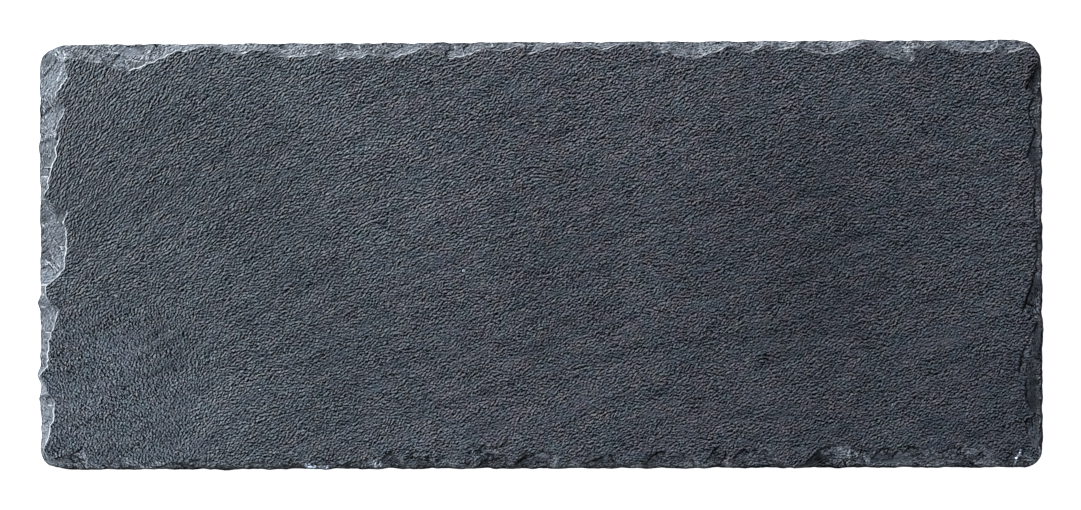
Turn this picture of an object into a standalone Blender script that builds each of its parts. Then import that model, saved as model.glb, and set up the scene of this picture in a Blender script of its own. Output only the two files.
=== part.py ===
"""Slate slab: one riven plate of slate, 280 x 120 x 5 mm, its four edges dressed by hand into chips.

The plate lies flat with its underside on z = 0. The outline of the underside is the widest part. Above it
a low wall stands all round, and from the top of that wall the chips slope up to the flat top face.
A chip is a scoop that starts at the outline and ends at a rim further in. Where scoops overlap, the
deeper one wins, which leaves a ridge between them.
"""

from collections import namedtuple
from math import pi, sin

import bmesh
import bpy
from mathutils import Vector

MM = 0.001

# Driving dimensions.
LENGTH = 280 * MM  # along X
WIDTH = 120 * MM  # along Y
THICKNESS = 5 * MM  # along Z

# The wall round the underside, and the narrow broken edge that runs between the chips.
WALL_LOW = 1.1 * MM  # height of the wall under the deepest chips
WALL_HIGH = 2.2 * MM  # height of the wall where there is no chip
EDGE_REACH = 1.5 * MM  # how far in the broken edge goes
EDGE_WAVES = ((23 * MM, 0.35 * MM), (9.7 * MM, 0.3 * MM))  # wave length and height of its rim
OUTLINE_WAVES = ((13.1 * MM, 0.1 * MM), (5.3 * MM, 0.06 * MM))  # the same for the outline
FULL_DEPTH_REACH = 6.5 * MM  # chips that reach this far in go down to WALL_LOW
STEP_WIDTH = 0.6 * MM  # every chip starts at its rim with a steep step
STEP_SHARE = 0.25  # the step's share of the chip's depth

# How the surface is divided.
STATION_GAP = 1.5 * MM  # from one point of the outline to the next
CORNER_STATIONS = 6  # points round one corner
RING_SHARES = (0.0, 0.25, 0.5, 0.75, 1.0)  # rings of points from the outline to the foot of the step
ANCHOR_INSET = 15 * MM  # the rings close in towards a rectangle this far inside the outline
RIM_STEP = 0.1 * MM  # step of the search for the rim

# Look of the stone.
SLATE_COLOUR = (0.075, 0.085, 0.103, 1.0)
SLATE_ROUGHNESS = 0.62

# The corners of the outline, in order round it, a little out of square: place of the corner point in
# millimetres, then how much its rounding takes off the edge before it and off the edge after it.
Corner = namedtuple("Corner", "x y off_before off_after")
CORNERS = (
    Corner(-140.1, -60.5, 4.5, 6.4),
    Corner(140.1, -59.8, 6.2, 5.6),
    Corner(139.7, 60.5, 8.1, 6.2),
    Corner(-139.8, 59.1, 10.6, 5.6),
)

# The edges, in the same order. Places along the front and back edges are x, and along the right and
# left edges y, in millimetres from the middle of the slab.
EDGES = ("front", "right", "back", "left")

# Chips: place of the furthest point of the rim, run of the rim to the lower side and to the higher side
# of that place, reach inwards, how far the scoop leans along the edge for each millimetre inwards, and
# how the rim runs out: 1 is straight, 2 round, 3 and up squarer.
Chip = namedtuple("Chip", "place low high reach lean curve")
CHIPS = {
    "front": (
        Chip(-129.0, 12.0, 5.0, 6.6, 0.2, 1.2),
        Chip(-118.0, 3.0, 10.0, 4.4, -0.3, 1.0),
        Chip(-105.5, 8.0, 8.0, 2.4, 0.0, 2.5),
        Chip(-95.5, 4.5, 4.0, 3.0, 0.1, 3.0),
        Chip(-75.5, 9.0, 4.0, 2.2, 0.0, 1.5),
        Chip(-70.2, 1.2, 4.5, 3.0, -0.3, 1.0),
        Chip(-63.5, 2.0, 2.2, 2.0, 0.0, 2.0),
        Chip(-46.5, 12.0, 2.8, 3.4, 0.5, 1.3),
        Chip(-41.0, 8.0, 6.0, 5.0, -0.1, 1.2),
        Chip(-34.5, 7.0, 6.0, 5.8, -0.3, 1.2),
        Chip(-26.5, 4.5, 6.0, 3.5, 0.2, 1.5),
        Chip(-13.9, 7.5, 4.0, 6.5, -0.5, 3.0),
        Chip(2.3, 8.5, 5.0, 4.9, 0.7, 3.0),
        Chip(20.7, 14.0, 3.5, 4.4, 0.2, 1.0),
        Chip(35.5, 8.0, 9.0, 5.2, -0.2, 2.5),
        Chip(50.5, 5.0, 2.5, 5.8, 0.1, 3.0),
        Chip(58.5, 7.0, 9.0, 5.4, -0.2, 3.0),
        Chip(83.5, 9.0, 5.0, 6.9, 0.3, 2.5),
        Chip(86.5, 3.0, 9.5, 5.4, -0.3, 1.0),
        Chip(96.5, 5.0, 7.0, 5.8, 0.1, 2.5),
        Chip(104.0, 6.0, 12.0, 6.1, -0.3, 2.2),
        Chip(118.5, 10.0, 11.0, 6.2, 0.0, 3.0),
        Chip(134.5, 3.5, 7.0, 5.4, 0.5, 2.0),
    ),
    "right": (
        Chip(-50.0, 6.5, 5.5, 5.4, 0.0, 4.0),
        Chip(-37.5, 9.0, 8.0, 5.2, 0.1, 3.0),
        Chip(-33.3, 5.0, 16.0, 7.1, -0.2, 1.7),
        Chip(-16.0, 1.2, 18.0, 6.0, 0.2, 1.1),
        Chip(-3.0, 3.0, 3.0, 2.6, 0.0, 2.0),
        Chip(2.0, 1.5, 5.5, 2.4, 0.2, 1.3),
        Chip(15.5, 9.0, 9.0, 2.7, 0.1, 3.0),
        Chip(27.8, 5.5, 11.0, 4.6, -0.2, 1.3),
        Chip(41.0, 7.5, 5.0, 4.0, 0.0, 3.0),
        Chip(46.0, 2.0, 11.0, 4.9, 0.2, 1.5),
    ),
    "back": (
        Chip(-120.9, 45.0, 2.5, 5.4, 0.3, 1.0),
        Chip(-116.0, 11.0, 13.0, 7.4, 0.2, 2.0),
        Chip(-109.9, 1.5, 10.0, 5.6, -0.45, 1.1),
        Chip(-84.3, 9.0, 9.0, 3.0, 0.1, 1.3),
        Chip(-71.9, 5.5, 18.0, 3.8, 0.1, 2.5),
        Chip(-56.0, 8.0, 16.0, 4.3, -0.1, 2.5),
        Chip(-43.3, 8.0, 16.0, 4.3, 0.2, 1.3),
        Chip(-26.0, 9.0, 14.0, 4.6, -0.3, 1.3),
        Chip(-11.7, 8.0, 7.0, 2.4, 0.0, 3.0),
        Chip(-4.9, 1.2, 13.0, 3.9, -0.4, 1.0),
        Chip(41.9, 17.0, 15.0, 4.4, 0.2, 1.5),
        Chip(58.4, 7.0, 4.5, 3.0, 0.1, 2.0),
        Chip(64.9, 1.5, 10.0, 2.9, -0.3, 1.2),
        Chip(80.0, 10.0, 7.0, 3.7, 0.0, 3.0),
        Chip(103.7, 13.0, 0.8, 5.8, 0.2, 2.0),
        Chip(123.0, 14.0, 5.5, 3.3, 0.0, 4.0),
        Chip(130.5, 5.0, 8.0, 4.5, -0.1, 1.5),
    ),
    "left": (
        Chip(-50.0, 7.5, 1.5, 2.8, 0.2, 1.8),
        Chip(-41.4, 11.0, 4.2, 4.1, 0.4, 2.5),
        Chip(-26.5, 9.0, 6.0, 2.3, 0.0, 3.0),
        Chip(-15.6, 12.3, 7.0, 5.3, 0.3, 1.2),
        Chip(2.0, 11.8, 14.0, 7.3, -0.1, 3.5),
        Chip(11.8, 9.0, 6.2, 8.0, 0.3, 1.2),
        Chip(33.9, 19.0, 1.5, 5.9, 0.55, 1.1),
        Chip(41.2, 14.0, 8.5, 7.4, 0.3, 1.0),
        Chip(55.5, 22.0, 8.0, 7.6, -0.1, 1.0),
    ),
}

# Points left standing proud of the outline where two chips meet: place, half width, height.
Burr = namedtuple("Burr", "place half_width height")
BURRS = {
    "front": (Burr(-2.7, 2.5, 0.3), Burr(38.0, 4.0, 0.2), Burr(-88.0, 3.0, 0.25)),
    "right": (Burr(8.0, 3.0, 0.25), Burr(-21.0, 3.5, 0.3)),
    "back": (Burr(-7.5, 4.0, 0.3), Burr(30.0, 6.0, 0.2), Burr(90.0, 4.0, 0.25)),
    "left": (Burr(29.5, 3.0, 0.6), Burr(-13.5, 2.5, 0.8), Burr(-34.0, 3.0, 1.0), Burr(-40.5, 2.2, 0.6)),
}

# A point of the outline and the way along the outline to it. A chip, placed by that way too.
Station = namedtuple("Station", "point way")
Scoop = namedtuple("Scoop", "way before after reach lean curve wall")


def remove_all_objects():
    for obj in list(bpy.data.objects):
        bpy.data.objects.remove(obj, do_unlink=True)


def corner_point(index):
    corner = CORNERS[index % 4]
    return Vector((corner.x, corner.y)) * MM


def edge_ends(index):
    """The two ends of the straight stretch of one edge."""
    start, end = corner_point(index), corner_point(index + 1)
    along = (end - start).normalized()
    start_off = CORNERS[index % 4].off_after * MM
    end_off = CORNERS[(index + 1) % 4].off_before * MM
    return start + along * start_off, end - along * end_off


def rounded_corner(index):
    """Points on the curve that rounds the corner at the end of edge `index`, its ends left out."""
    before, after = edge_ends(index)[1], edge_ends(index + 1)[0]
    corner = corner_point(index + 1)
    points = []
    for step in range(1, CORNER_STATIONS + 1):
        t = step / (CORNER_STATIONS + 1)
        points.append(before * (1 - t) ** 2 + corner * 2 * t * (1 - t) + after * t**2)
    return points


def smooth_outline():
    """The outline without its burrs, and for each edge the way along the outline to its start."""
    points, edge_ways, way = [], [], 0.0
    for index in range(4):
        start, end = edge_ends(index)
        if points:
            way += (start - points[-1]).length
        edge_ways.append(way)
        count = round((end - start).length / STATION_GAP)
        points += [start.lerp(end, step / count) for step in range(count + 1)]
        way += (end - start).length
        for point in rounded_corner(index):
            way += (point - points[-1]).length
            points.append(point)
    return points, edge_ways


def way_of_place(index, place, edge_ways):
    """The way along the outline to a place on one edge."""
    start, end = edge_ends(index)
    axis = index % 2
    share = (place * MM - start[axis]) / (end[axis] - start[axis])
    return edge_ways[index] + (end - start).length * share


def wave_sum(way, waves):
    return sum(height * sin(2 * pi * way / length) for length, height in waves)


def proud_height(way, edge_ways):
    """How far the outline stands out of its smooth line at one place."""
    height = wave_sum(way, OUTLINE_WAVES)
    for index, name in enumerate(EDGES):
        for burr in BURRS[name]:
            distance = abs(way - way_of_place(index, burr.place, edge_ways))
            height += burr.height * MM * max(0.0, 1 - distance / (burr.half_width * MM))
    return height


def stations():
    """Points round the outline with the burrs on them, and the outline's length."""
    points, edge_ways = smooth_outline()
    placed, way = [], 0.0
    for number, point in enumerate(points):
        following = points[(number + 1) % len(points)]
        along = (following - points[number - 1]).normalized()
        outward = Vector((along.y, -along.x))
        placed.append(Station(point + outward * proud_height(way, edge_ways), way))
        way += (following - point).length
    return fit_to_size(placed), edge_ways, way


def fit_to_size(placed):
    """The same stations, centred and brought to the slab's length and width."""
    low = Vector(min(station.point[axis] for station in placed) for axis in (0, 1))
    high = Vector(max(station.point[axis] for station in placed) for axis in (0, 1))
    scale = Vector((LENGTH / (high - low).x, WIDTH / (high - low).y))
    middle = (low + high) / 2
    return [station._replace(point=(station.point - middle) * scale) for station in placed]


def scoops(edge_ways):
    """The chips of all four edges, with their places given as the way along the outline."""
    found = []
    for index, name in enumerate(EDGES):
        forwards = index < 2
        for chip in CHIPS[name]:
            low, high = chip.low * MM, chip.high * MM
            depth = min(1.0, chip.reach * MM / FULL_DEPTH_REACH)
            found.append(
                Scoop(
                    way=way_of_place(index, chip.place, edge_ways),
                    before=low if forwards else high,
                    after=high if forwards else low,
                    reach=chip.reach * MM,
                    lean=chip.lean if forwards else -chip.lean,
                    curve=chip.curve,
                    wall=WALL_HIGH + (WALL_LOW - WALL_HIGH) * depth,
                )
            )
    return found


def scoop_drop(scoop, way, inset, perimeter):
    """How far one chip cuts below the top face, at a point given by its way and its inset."""
    offset = way - scoop.way - scoop.lean * (inset - scoop.reach)
    offset = (offset + perimeter / 2) % perimeter - perimeter / 2
    run = scoop.before if offset < 0 else scoop.after
    spread = 1 - abs(offset / run) ** scoop.curve
    rim = scoop.reach * spread
    if rim <= inset:
        return 0.0
    step = min(1.0, (rim - inset) / STEP_WIDTH)
    hollow = 1 - (inset / rim) ** 1.3
    return (THICKNESS - scoop.wall) * spread**0.3 * (STEP_SHARE * step + (1 - STEP_SHARE) * hollow)


def edge_drop(way, inset):
    """How far the narrow broken edge cuts below the top face."""
    rim = EDGE_REACH + wave_sum(way, EDGE_WAVES)
    return (THICKNESS - WALL_HIGH) * max(0.0, 1 - inset / rim)


def drop(way, inset, chips, perimeter):
    deepest = max(scoop_drop(scoop, way, inset, perimeter) for scoop in chips)
    return max(deepest, edge_drop(way, inset))


def rim_inset(way, chips, perimeter):
    """How far in the rim of the chips lies at one station."""
    inset = max(scoop.reach for scoop in chips)
    while inset > RIM_STEP and drop(way, inset, chips, perimeter) <= 0:
        inset -= RIM_STEP
    return inset + RIM_STEP


def inward(station):
    """The direction in which the rings close in from one station."""
    reach_x, reach_y = LENGTH / 2 - ANCHOR_INSET, WIDTH / 2 - ANCHOR_INSET
    anchor = Vector(
        (max(-reach_x, min(reach_x, station.point.x)), max(-reach_y, min(reach_y, station.point.y)))
    )
    return (anchor - station.point).normalized()


def rings():
    """Rings of points from the underside's outline up over the chips to their rim."""
    placed, edge_ways, perimeter = stations()
    chips = scoops(edge_ways)
    underside = [station.point.to_3d() for station in placed]
    slopes = [[] for _ in RING_SHARES]
    rim_ring = []
    for station in placed:
        rim = rim_inset(station.way, chips, perimeter)
        foot = max(rim - STEP_WIDTH, 0.7 * rim)
        direction = inward(station)
        for ring, share in zip(slopes, RING_SHARES):
            point = (station.point + direction * foot * share).to_3d()
            point.z = THICKNESS - drop(station.way, foot * share, chips, perimeter)
            ring.append(point)
        rim_point = (station.point + direction * rim).to_3d()
        rim_point.z = THICKNESS
        rim_ring.append(rim_point)
    return [underside, *slopes, rim_ring]


def slab_mesh():
    mesh = bpy.data.meshes.new("slate_slab")
    shape = bmesh.new()
    levels = [[shape.verts.new(point) for point in ring] for ring in rings()]
    count = len(levels[0])
    for lower, upper in zip(levels, levels[1:]):
        for number in range(count):
            following = (number + 1) % count
            shape.faces.new((lower[number], lower[following], upper[following], upper[number]))
    shape.faces.new(levels[-1])
    shape.faces.new(reversed(levels[0]))
    bmesh.ops.recalc_face_normals(shape, faces=shape.faces)
    shape.to_mesh(mesh)
    shape.free()
    return mesh


def slate_material():
    material = bpy.data.materials.new("riven slate")
    material.use_nodes = True
    shader = material.node_tree.nodes["Principled BSDF"]
    shader.inputs["Base Color"].default_value = SLATE_COLOUR
    shader.inputs["Roughness"].default_value = SLATE_ROUGHNESS
    shader.inputs["Metallic"].default_value = 0.0
    return material


def make_slab():
    slab = bpy.data.objects.new("slate_slab", slab_mesh())
    slab.data.materials.append(slate_material())
    bpy.context.scene.collection.objects.link(slab)
    return slab


remove_all_objects()
make_slab()
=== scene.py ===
"""Slate slab: a riven plate of slate with hand-chipped edges, on a plain pale floor."""

from collections import namedtuple
from math import cos, pi, radians, sin

import bpy
import numpy as np
from bpy.props import FloatProperty, FloatVectorProperty, PointerProperty
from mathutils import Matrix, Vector, noise
from mathutils.geometry import delaunay_2d_cdt


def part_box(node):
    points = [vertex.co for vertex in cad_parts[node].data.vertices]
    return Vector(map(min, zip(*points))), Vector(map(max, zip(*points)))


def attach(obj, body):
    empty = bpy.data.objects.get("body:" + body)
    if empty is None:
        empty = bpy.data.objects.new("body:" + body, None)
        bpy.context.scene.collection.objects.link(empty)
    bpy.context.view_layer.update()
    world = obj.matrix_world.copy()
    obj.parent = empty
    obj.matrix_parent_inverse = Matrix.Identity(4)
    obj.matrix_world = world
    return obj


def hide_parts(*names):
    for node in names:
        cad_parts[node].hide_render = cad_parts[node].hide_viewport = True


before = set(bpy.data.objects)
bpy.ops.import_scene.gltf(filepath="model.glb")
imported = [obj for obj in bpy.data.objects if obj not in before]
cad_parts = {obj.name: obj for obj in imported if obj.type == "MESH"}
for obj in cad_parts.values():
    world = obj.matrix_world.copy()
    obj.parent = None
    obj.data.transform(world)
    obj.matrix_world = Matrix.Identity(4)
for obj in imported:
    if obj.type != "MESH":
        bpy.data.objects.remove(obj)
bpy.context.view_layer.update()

bl_info = {
    "name": "Slate Slab",
    "version": (1, 0, 0),
    "blender": (4, 5, 0),
    "location": "View3D > Sidebar > Slate",
    "description": "Makes a riven slate slab with hand-chipped edges, and a plain stage for it",
    "category": "Object",
}

MM = 0.001

# Sizes of the slab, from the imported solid.
LENGTH, WIDTH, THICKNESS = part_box("slate_slab")[1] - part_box("slate_slab")[0]

# The wall round the underside, and the narrow broken edge that runs between the chips.
WALL_LOW = 1.1 * MM  # height of the wall under the deepest chips
WALL_HIGH = 2.2 * MM  # height of the wall where there is no chip
EDGE_REACH = 1.5 * MM  # how far in the broken edge goes
EDGE_WAVES = ((23 * MM, 0.35 * MM), (9.7 * MM, 0.3 * MM))  # wave length and height of its rim
OUTLINE_WAVES = ((13.1 * MM, 0.1 * MM), (5.3 * MM, 0.06 * MM))  # the same for the outline
FULL_DEPTH_REACH = 6.5 * MM  # chips that reach this far in go down to WALL_LOW
STEP_WIDTH = 0.6 * MM  # every chip starts at its rim with a steep step
HOLLOW_POWER = 1.3  # how round the hollow below the step is
DEPTH_POWER = 0.3  # how early along its rim a chip has its full depth

# How the chips of each edge fall away: the share of the depth that the step at the rim takes, and how
# late the rest of it comes, 1 for an even slope.
Fall = namedtuple("Fall", "step lateness")
FALLS = {
    "front": Fall(0.07, 3.0),
    "right": Fall(0.07, 3.0),
    "back": Fall(0.25, 1.0),
    "left": Fall(0.25, 1.0),
}

# The corners of the outline, in order round it: place in millimetres, then how much the rounding takes
# off the edge before the corner and off the edge after it.
Corner = namedtuple("Corner", "x y off_before off_after")
CORNERS = (
    Corner(-139.4, -60.5, 5.6, 9.2),
    Corner(140.1, -59.8, 6.4, 6.4),
    Corner(139.7, 60.5, 9.4, 7.2),
    Corner(-139.8, 59.1, 11.4, 5.8),
)
EDGES = ("front", "right", "back", "left")

# Chips: place of the furthest point of the rim, run of the rim to the lower side and to the higher side
# of that place, reach inwards, how far the scoop leans along the edge for each millimetre inwards, and
# how the rim runs out: 1 is straight, 2 round, 3 and up squarer.
Chip = namedtuple("Chip", "place low high reach lean curve")
CHIPS = {
    "front": (
        Chip(-129.0, 12.0, 5.0, 6.6, 0.2, 1.2),
        Chip(-118.0, 3.0, 10.0, 4.4, -0.3, 1.0),
        Chip(-105.5, 8.0, 8.0, 2.4, 0.0, 2.5),
        Chip(-95.5, 4.5, 4.0, 3.0, 0.1, 3.0),
        Chip(-75.5, 9.0, 4.0, 2.2, 0.0, 1.5),
        Chip(-70.2, 1.2, 4.5, 3.0, -0.3, 1.0),
        Chip(-63.5, 2.0, 2.2, 2.0, 0.0, 2.0),
        Chip(-46.5, 12.0, 2.8, 3.4, 0.5, 1.3),
        Chip(-41.0, 8.0, 6.0, 5.0, -0.1, 1.2),
        Chip(-34.5, 7.0, 6.0, 5.8, -0.3, 1.2),
        Chip(-26.5, 4.5, 6.0, 3.5, 0.2, 1.5),
        Chip(-13.9, 7.5, 4.0, 6.5, -0.5, 3.0),
        Chip(2.3, 8.5, 5.0, 4.9, 0.7, 3.0),
        Chip(20.7, 14.0, 3.5, 4.4, 0.2, 1.0),
        Chip(35.5, 8.0, 9.0, 5.2, -0.2, 2.5),
        Chip(50.5, 5.0, 2.5, 5.8, 0.1, 3.0),
        Chip(58.5, 7.0, 9.0, 5.4, -0.2, 3.0),
        Chip(83.5, 9.0, 5.0, 6.9, 0.3, 2.5),
        Chip(86.5, 3.0, 9.5, 5.4, -0.3, 1.0),
        Chip(96.5, 5.0, 7.0, 5.8, 0.1, 2.5),
        Chip(104.0, 6.0, 12.0, 6.1, -0.3, 2.2),
        Chip(118.5, 10.0, 11.0, 6.2, 0.0, 3.0),
        Chip(134.5, 3.5, 7.0, 5.4, 0.5, 2.0),
    ),
    "right": (
        Chip(-50.0, 6.5, 5.5, 5.4, 0.0, 4.0),
        Chip(-37.5, 9.0, 8.0, 5.2, 0.1, 3.0),
        Chip(-33.3, 5.0, 16.0, 7.1, -0.2, 1.7),
        Chip(-16.0, 1.2, 18.0, 6.0, 0.2, 1.1),
        Chip(-3.0, 3.0, 3.0, 2.6, 0.0, 2.0),
        Chip(2.0, 1.5, 5.5, 2.4, 0.2, 1.3),
        Chip(15.5, 9.0, 9.0, 2.7, 0.1, 3.0),
        Chip(27.8, 5.5, 11.0, 4.6, -0.2, 1.3),
        Chip(41.0, 7.5, 5.0, 4.0, 0.0, 3.0),
        Chip(46.0, 2.0, 11.0, 4.9, 0.2, 1.5),
    ),
    "back": (
        Chip(-120.9, 45.0, 2.5, 5.4, 0.3, 1.0),
        Chip(-116.0, 11.0, 13.0, 7.4, 0.2, 2.0),
        Chip(-109.9, 1.5, 10.0, 5.6, -0.45, 1.1),
        Chip(-84.3, 9.0, 9.0, 3.0, 0.1, 1.3),
        Chip(-71.9, 5.5, 18.0, 3.8, 0.1, 2.5),
        Chip(-56.0, 8.0, 16.0, 4.3, -0.1, 2.5),
        Chip(-43.3, 8.0, 16.0, 4.3, 0.2, 1.3),
        Chip(-26.0, 9.0, 14.0, 4.6, -0.3, 1.3),
        Chip(-11.7, 8.0, 7.0, 2.4, 0.0, 3.0),
        Chip(-4.9, 1.2, 13.0, 3.9, -0.4, 1.0),
        Chip(41.9, 17.0, 15.0, 4.4, 0.2, 1.5),
        Chip(58.4, 7.0, 4.5, 3.0, 0.1, 2.0),
        Chip(64.9, 1.5, 10.0, 2.9, -0.3, 1.2),
        Chip(80.0, 10.0, 7.0, 3.7, 0.0, 3.0),
        Chip(103.7, 13.0, 0.8, 5.8, 0.2, 2.0),
        Chip(123.0, 14.0, 5.5, 3.3, 0.0, 4.0),
        Chip(130.5, 5.0, 8.0, 4.5, -0.1, 1.5),
    ),
    "left": (
        Chip(-50.0, 7.5, 1.5, 2.8, 0.2, 1.8),
        Chip(-41.4, 11.0, 4.2, 4.1, 0.4, 2.5),
        Chip(-26.5, 9.0, 6.0, 2.3, 0.0, 3.0),
        Chip(-15.6, 12.3, 7.0, 5.3, 0.3, 1.2),
        Chip(2.0, 11.8, 14.0, 7.3, -0.1, 3.5),
        Chip(11.8, 9.0, 6.2, 8.0, 0.3, 1.2),
        Chip(33.9, 19.0, 2.5, 5.9, 0.55, 1.1),
        Chip(41.2, 14.0, 8.5, 7.4, 0.3, 1.0),
        Chip(55.5, 22.0, 8.0, 9.2, -0.1, 1.0),
    ),
}

# Points left standing proud of the outline where two chips meet: place, half width, height.
Burr = namedtuple("Burr", "place half_width height")
BURRS = {
    "front": (Burr(-2.7, 2.5, 0.3), Burr(38.0, 4.0, 0.2), Burr(-88.0, 3.0, 0.25)),
    "right": (Burr(8.0, 3.0, 0.25), Burr(-21.0, 3.5, 0.3)),
    "back": (Burr(-7.5, 4.0, 0.3), Burr(30.0, 6.0, 0.2), Burr(90.0, 4.0, 0.25)),
    "left": (
        Burr(29.5, 3.0, 0.6),
        Burr(-13.5, 2.5, 0.8),
        Burr(-34.0, 3.0, 1.0),
        Burr(-40.5, 2.2, 0.6),
    ),
}

# How the fine surface is divided.
STATION_GAP = 0.36 * MM  # from one point of the outline to the next
CORNER_STATIONS = 34  # points round one corner
ANCHOR_INSET = 15 * MM  # the rings close in towards a rectangle this far inside the outline
WALL_SHARES = (0.0, 0.3, 0.65)  # rings up the wall, as shares of its height
SLOPE_RINGS = 19  # rings up the slope of the chips, from the outline to the foot of the step
FOOT_SHARE = 0.7  # the foot of the step is at least this share of the way to the rim
STEP_SHARES = (0.4, 0.75)  # rings up the step, from its foot to the rim
FACE_SHARES = (0.03, 0.12, 0.35, 0.66, 1.0)  # rings from the rim to the ends of the face's border
BORDER_INSET = 10.5 * MM  # inside this the top face is one even net
FACE_NET = 1.5 * MM  # spacing of the net
UNDERSIDE_NET = 4.0 * MM
NET_ROW = 0.87  # from one row of a net to the next, as a share of its spacing
NET_END = 0.7  # room left at the far ends of a net, in the same shares
NET_SHAKE = 0.2  # how far its points are shaken
NET_MARGIN = 0.45  # how far inside the ring round it they stay
NET_SEED = 7
NET_TOLERANCE = 1e-9
NEAR_MARGINS = 5  # how many margins off a ring's point still tests a point of the net
RIM_STEP = 0.04 * MM  # step of the search for the rim
SMOOTH_ANGLE = radians(38)  # edges sharper than this stay sharp

# Where one chip cuts deep into the side of another, the cliff between them is brought down to a slope.
CLIFF_SLOPE = 0.9
CLIFF_STATIONS = 9  # how many stations wide such a slope may be
RIM_TURN = 1.6  # the rings bend in to the rim of a chip no more steeply than this
RIM_ROUNDING = 1  # the rim is evened out over this many stations to each side

FULL_GRAIN_CUT = 0.5 * MM  # where a chip is this deep or more, its fine relief has its full height
LOWEST_SLOPE = 0.5 * WALL_LOW  # no relief of the chips goes below this

# Random relief: how strong and how fine its finer bumps are against the larger ones, the way in which
# a seed moves it, and then for each place the size of the bumps and their height.
RAG_FADE, RAG_FINENESS = 0.9, 2.1
SEED_WAY = (1.0, 1.7, 0.6)
OUTLINE_RAG = (2.2 * MM, 0.16 * MM)
RIM_RAG = (2.1 * MM, 0.5 * MM)
WALL_RAG = (1.1 * MM, 0.22 * MM)
FACE_SWELL = (14.0 * MM, 0.1 * MM)
FACE_FOLD = (4.5 * MM, 0.05 * MM)
FOLD_WAY = (0.91, 0.42)  # the folds of the face run this way
FOLD_STRETCH = 0.45  # the width of a fold as a share of its length
FOLD_SHARE = 0.6  # the share of the height of the folds that is kept
FACETS = ((4.8 * MM, 1.0), (1.9 * MM, 0.3))  # flat scars in the chips, as shares of the facet height
FACET_DEPTHS = 1.5  # how soon one scar gives way to another as a chip goes down
FACET_TILT = 2.0
CHIP_GRAIN_SIZE = 1.3 * MM
UNDERSIDE_SWELL = (20.0 * MM, 0.12 * MM)

# The ledges in the chips: how the layers wave, the wave's height in ledges, where in a ledge its riser
# starts and how much of the ledge it takes, and how far the ledges come and go, in lumps of one size.
LAYER_WAVE = (5.0 * MM, 1.3)
RISER_START, RISER_SHARE = 0.4, 0.2
LEDGE_STRENGTH, STRONGEST_LEDGE = 0.6, 0.95
LEDGE_CHANGE = (6.0 * MM, 1.3)

# Marks held with the points. The wear-and-light mark is 1 on a pale ridge or rim and -1 in a dark
# groove: pale ridges are partly wear and partly painted highlight, pale rims are painted light, and the
# dark grooves, foot and rims are painted shade. Tone is how light the stone is there, round 1. Rough is
# how rough the chips are there, up to 1, and how strongly their painted relief shade shows.
WEAR_AND_LIGHT = "worn"
TONE = "tone"
ROUGH = "rough"
RIDGE_HEIGHT = 0.15 * MM  # a point this much above its neighbours is a sharp ridge
# Pale ridges are partly wear and partly painted highlight, weaker on the side away from the key light.
RIDGE_MARK, RIDGE_SHADE_LOSS = 1.15, 1.2  # the palest mark of a ridge, and what the shaded side takes off that
RIM_MARK = 1.15  # the same for the rim: painted light facing the key light, painted shade facing away
FOOT_SHADE_REACH = (0.4 * MM, 1.05 * MM)  # painted shade darkens the lowest part of the chips this far in
FOOT_SHADE = (0.6, 1.35)  # and this dark: on the lit side, and on the shaded side
KEY_LIGHT_SIDE = (-0.84, 0.54)  # way to the key light: rims painted light on this side, shade on the other
PALE_TURN = 1.6  # how quickly they change from one to the other round a corner
FACING_STATIONS = 3  # the way the rim faces is evened out over this many stations to each side
# The wider spread on the shaded side is partly painted shade.
SCAR_TONES = (0.6, 1.0)  # how much the scars differ in tone, on the lit side and the shaded side
SCAR_PLATEAU = 2.5  # how early the smooth scars reach their full darkness
SCAR_SMOOTHNESS = 0.75  # the share of the chips' roughness that the smooth scars lack
# Roughness also sets how strongly the chips' painted relief shade shows, most on the shaded side.
CHIP_ROUGHNESS = ((-0.5, 0.5, 0.85), (1.0, 0.65, 0.4))  # from the shaded side to the lit side
GROOVE_SHARES = (0.5, 1.0)  # painted shade in the grooves: on the lit side, and the shaded side
LINE_EDGE = 1.5  # how far out the lines among the chips fade, in half widths

# Light and dark patches of the stone: middle and reach both ways, in millimetres, the slant of the
# patch in degrees, and the change of tone.
Patch = namedtuple("Patch", "x y reach_x reach_y slant change")
PATCHES = (
    Patch(-124.0, -48.0, 72.0, 40.0, 0, 0.48),
    Patch(-117.0, -27.0, 11.0, 7.0, 20, 0.3),
    Patch(-122.0, 30.0, 62.0, 62.0, 0, -0.17),
    Patch(-105.0, -21.0, 8.0, 7.0, 0, -0.14),
    Patch(-84.0, -39.0, 24.0, 4.5, 18, 0.12),
    Patch(-115.0, 43.0, 17.0, 5.0, 36, 0.12),
    Patch(-79.0, 18.0, 30.0, 42.0, 0, -0.17),
    Patch(-33.0, 10.0, 24.0, 40.0, 0, 0.06),
    Patch(4.0, 0.0, 22.0, 46.0, 0, -0.1),
    Patch(32.0, 42.0, 24.0, 30.0, 0, 0.12),
    Patch(72.0, -4.0, 50.0, 58.0, 0, -0.2),
    Patch(126.0, 14.0, 28.0, 60.0, 0, 0.12),
    Patch(88.0, 58.0, 80.0, 30.0, 0, 0.12),
    Patch(-26.0, -50.0, 74.0, 24.0, 0, 0.14),
    Patch(-45.6, -58.2, 1.8, 1.8, 0, 0.9),
)

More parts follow.
